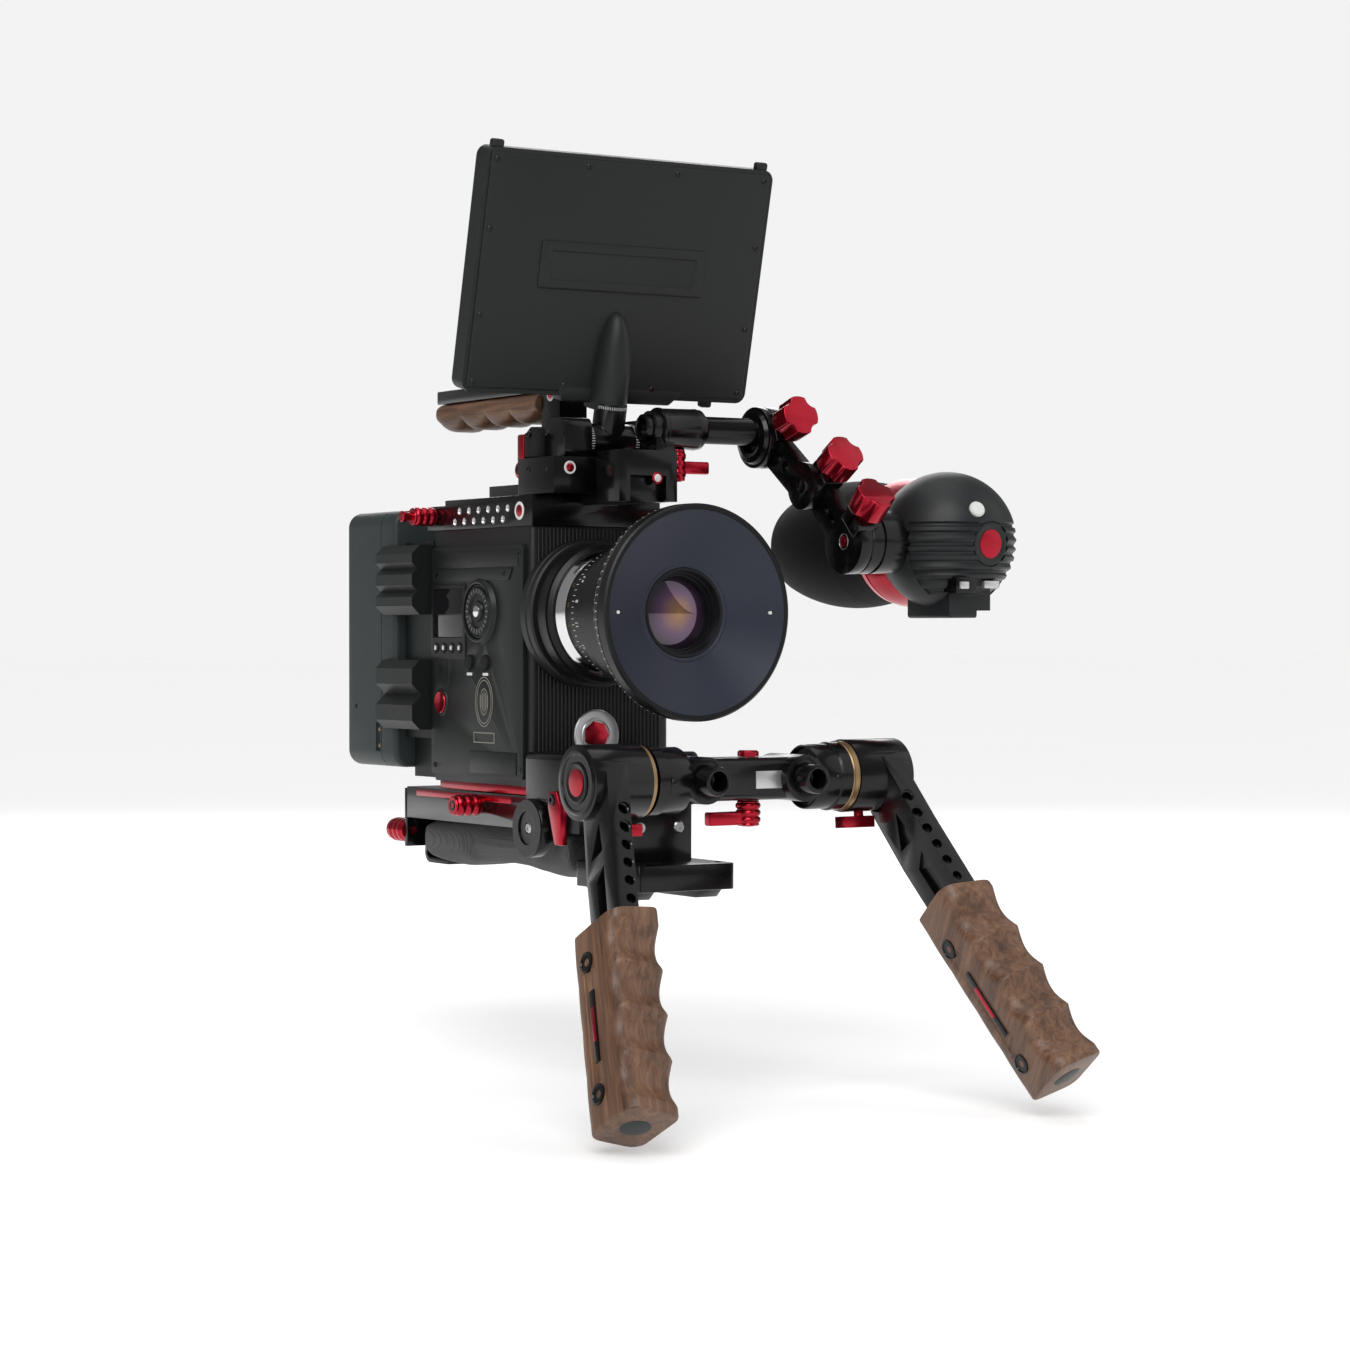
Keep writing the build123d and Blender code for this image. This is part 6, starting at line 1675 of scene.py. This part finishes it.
# %% [markdown]
# ## Base
# The baseplate, the column and the tripod plate are milled blocks. The rosettes on the sides
# have a ring of radial teeth, which are strips of the disc's own face pushed outwards.

# %% Base plates
ready(from_node("long_base", "baseplate", edge=0.8 * MM), black_metal, "base", "anodised_black",
      "baseplate")
ready(from_node("tripod_shoe", "tripod_plate", edge=1.0 * MM), black_metal, "base", "anodised_black",
      "tripod_plate")
ready(from_node("pad_hanger", "shoulder_frame", edge=0.5 * MM), black_metal, "base", "anodised_black",
      "shoulder_frame")
base_high = node_box("baseplate")[1]
shoe_low, shoe_high, _ = node_box("tripod_plate")
column_front = -20 * MM
for i, x in enumerate((-21 * MM, 21 * MM)):
    foot = cut_flat("shoe_foot_%d" % (i + 1), [Vector((x - 7 * MM, y, z)) for y, z in (
        (shoe_low.y + 9 * MM, 0.2 * MM), (shoe_low.y + 15 * MM, -5 * MM),
        (shoe_high.y - 14 * MM, -5 * MM), (shoe_high.y - 8 * MM, 0.2 * MM))],
        X * 14 * MM, 0.6 * MM)
    ready(foot, black_metal, "base", "anodised_black")
column_screw = [(x * MM, column_front, shoe_high.z + 18 * MM) for x in (12, -12)]
screws("column_screws", screw_large, column_screw, -Y, "base", steel)
screws("plate_screws", screw_small,
       [(side * 24 * MM, shoe_low.y + 8 * MM, shoe_high.z) for side in (-1, 1)], Z, "base")


def face_teeth(piece, axis, centre, inner, outer, depth):
    """Push every second strip of a turned piece's end face out into a tooth."""
    strips = {}
    up = Z
    side = axis.cross(up)
    for face in piece.data.polygons:
        arm = face.center - centre
        flat = arm - axis * arm.dot(axis)
        if face.normal.dot(axis) > 0.9 and inner < flat.length < outer:
            strips.setdefault(round(math.atan2(flat.dot(side), flat.dot(up)), 3), []).append(face.index)
    chosen = [f for i, key in enumerate(sorted(strips)) if i % 2 == 0 for f in strips[key]]
    only(piece)
    bpy.ops.object.mode_set(mode="EDIT")
    bpy.ops.mesh.select_all(action="DESELECT")
    bpy.ops.object.mode_set(mode="OBJECT")
    for index in chosen:
        piece.data.polygons[index].select = True
    bpy.ops.object.mode_set(mode="EDIT")
    bpy.ops.mesh.select_mode(type="FACE")
    bpy.ops.mesh.extrude_region_move(TRANSFORM_OT_translate={"value": axis * depth})
    bpy.ops.mesh.select_mode(type="VERT")
    bpy.ops.object.mode_set(mode="OBJECT")
    return smoothed(piece, 20)


rosette_y = Vector(next(m["pos_m"] for m in frame["record"]["mounts"] if m["name"] == "left_rosette"))
for side, name in ((-1, "left"), (1, "right")):
    at = Vector((side * base_high.x, rosette_y.y, rosette_y.z))
    disc = turned("rosette_" + name, [
        (3.2 * MM, -0.4 * MM), (3.2 * MM, 0.2 * MM), (8 * MM, 0.2 * MM), (9.2 * MM, 0.3 * MM),
        (15.4 * MM, 0.3 * MM), (15.9 * MM, -0.4 * MM)],
        at, X * side, 120)
    face_teeth(disc, X * side, at, 10 * MM, 15.3 * MM, 0.9 * MM)
    ready(disc, black_metal, "base", "anodised_black")
    bolt = turned("rosette_bolt_" + name,
                  [(0, -1 * MM), (3.0 * MM, -1 * MM), (3.0 * MM, -0.2 * MM), (2.2 * MM, 0.5 * MM),
                   (1.4 * MM, 0.5 * MM), (1.2 * MM, -0.4 * MM), (0, -0.4 * MM)],
                  at, X * side, 24)
    ready(bolt, steel, "base", "steel")
    strap = block("side_rail_" + name,
                  (min(side * 33.4, side * 32) * MM, rosette_y.y + 40 * MM,
                   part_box("side_lever")[0].z + 8 * MM),
                  (max(side * 33.4, side * 32) * MM, base_high.y - 12 * MM,
                   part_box("side_lever")[0].z + 12 * MM), 0.5 * MM)
    ready(strap, crimson_metal if side < 0 else black_metal, "base", "crimson")

# %% [markdown]
# ## Shoulder pad
# The pad is stuffed nylon. Its CAD block is remeshed, shrunk a little and blown up by a short
# cloth simulation, which rounds its edges as stuffing does.

# %% Shoulder pad
pad = from_node("padded_rest", "shoulder_pad", edge=0)
pad_low, pad_high, pad_mid = node_box("shoulder_pad")
pad.data.transform(Matrix.Translation(pad_mid) @ Matrix.Diagonal((0.9, 0.965, 0.8,
                                                                  1)) @ Matrix.Translation(-pad_mid))
modified(pad, "REMESH", mode="VOXEL", voxel_size=4.5 * MM)
modified(pad, "SMOOTH", factor=0.6, iterations=4)
rest_shape = [v.co.copy() for v in pad.data.vertices]
cloth = pad.modifiers.new("Cloth", "CLOTH")
cloth.settings.use_pressure = True
cloth.settings.uniform_pressure_force = 4.0
cloth.settings.effector_weights.gravity = 0
cloth.settings.quality = 4
cloth.point_cache.frame_end = 20
for step in range(1, 16):
    bpy.context.scene.frame_set(step)
only(pad)
bpy.ops.object.modifier_apply(modifier=cloth.name)
bpy.context.scene.frame_set(1)
most = 5 * MM
for vertex, before in zip(pad.data.vertices, rest_shape):
    move = vertex.co - before
    if move.length > most:
        move = move * (most / move.length)
    place = before + move
    for axis in range(3):
        place[axis] = min(max(place[axis], pad_low[axis] + (0.6 * MM if axis < 2 else -1.5 * MM)),
                          pad_high[axis] - 0.6 * MM)
    vertex.co = place
modified(pad, "SUBSURF", levels=1, render_levels=1)
modified(pad, "SMOOTH", factor=0.5, iterations=3)
smoothed(pad, 60)
ready(pad, pad_cloth, "base", "rubber", "shoulder_pad")
print("pad faces:", len(pad.data.polygons))

# %% [markdown]
# ## Hidden pieces
# The sensor block sits inside the case. It is a copy of its node with a circuit-board finish.

# %% Sensor block
ready(from_node("sensor_board", "sensor_block", edge=0.4 * MM), board_green, "camera", "circuit",
      "sensor_block")

# %% [markdown]
# ## Floor, sky and light
# A wide pale floor under an even white sky. Two wide soft suns light the floor evenly, and
# three large soft panels stand near the rig, because black gloss is drawn by what it reflects.
# The floor's slight glow brings its far edge to the sky's brightness.

# %% Studio
low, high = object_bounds()
floor_z = low.z - 2 * MM
pale = Finish("pale_floor", 0.9)
cloud = pale.noise(pale.place(), 1.5, 2.0)
pale.surface(pale.mix(cloud, (0.80, 0.80, 0.80), (0.84, 0.84, 0.84)), 0.88 + 0.04 * cloud)
bpy.ops.object.select_all(action="DESELECT")
bpy.ops.mesh.primitive_plane_add(size=60, location=(0, 0, floor_z))
floor = named("studio_floor")
pale.shader.inputs["Emission Color"].default_value = (1, 1, 1, 1)
pale.shader.inputs["Emission Strength"].default_value = 0.30
floor.data.materials.append(pale.material)


def placed_light(light_data, place, aim):
    light = bpy.data.objects.new(light_data.name, light_data)
    light.location = place
    light.rotation_euler = (Vector(aim) - Vector(place)).to_track_quat("-Z", "Y").to_euler()
    bpy.context.scene.collection.objects.link(light)


def soft_light(name, place, aim, size, power):
    data = bpy.data.lights.new(name, "AREA")
    data.shape = "RECTANGLE"
    data.size, data.size_y = size
    data.energy = power
    placed_light(data, place, aim)


def soft_sun(name, place, aim, strength, spread):
    """Light from one side of the sky: it falls evenly on the whole floor."""
    data = bpy.data.lights.new(name, "SUN")
    data.energy = strength
    data.angle = math.radians(spread)
    placed_light(data, place, aim)


middle = (low + high) / 2
soft_sun("key", (-1.0, -1.3, 1.9), middle, 1.8, 40)
soft_sun("fill", (1.6, -1.0, 1.2), middle, 0.6, 60)
soft_light("left_panel", (-1.9, -1.2, 1.0), middle, (1.0, 1.3), 9)
soft_light("top_panel", (0.1, 0.2, 2.0), middle, (1.4, 1.4), 7)
soft_light("back_panel", (1.1, 2.0, 1.3), middle, (1.4, 1.2), 14)
world = bpy.data.worlds.new("studio")
bpy.context.scene.world = world
world.use_nodes = True
sky = world.node_tree
straight = sky.nodes.new("ShaderNodeLightPath").outputs["Is Camera Ray"]
level = sky.nodes.new("ShaderNodeMapRange")
level.inputs["To Min"].default_value = 0.24
level.inputs["To Max"].default_value = 0.895
sky.links.new(straight, level.inputs["Value"])
sky.nodes["Background"].inputs["Color"].default_value = (1, 1, 1, 1)
sky.links.new(level.outputs["Result"], sky.nodes["Background"].inputs["Strength"])
bpy.context.scene.view_settings.view_transform = "Standard"

# %% The end: the model screws are removed
for model in (screw_small, screw_large):
    bpy.data.objects.remove(model)
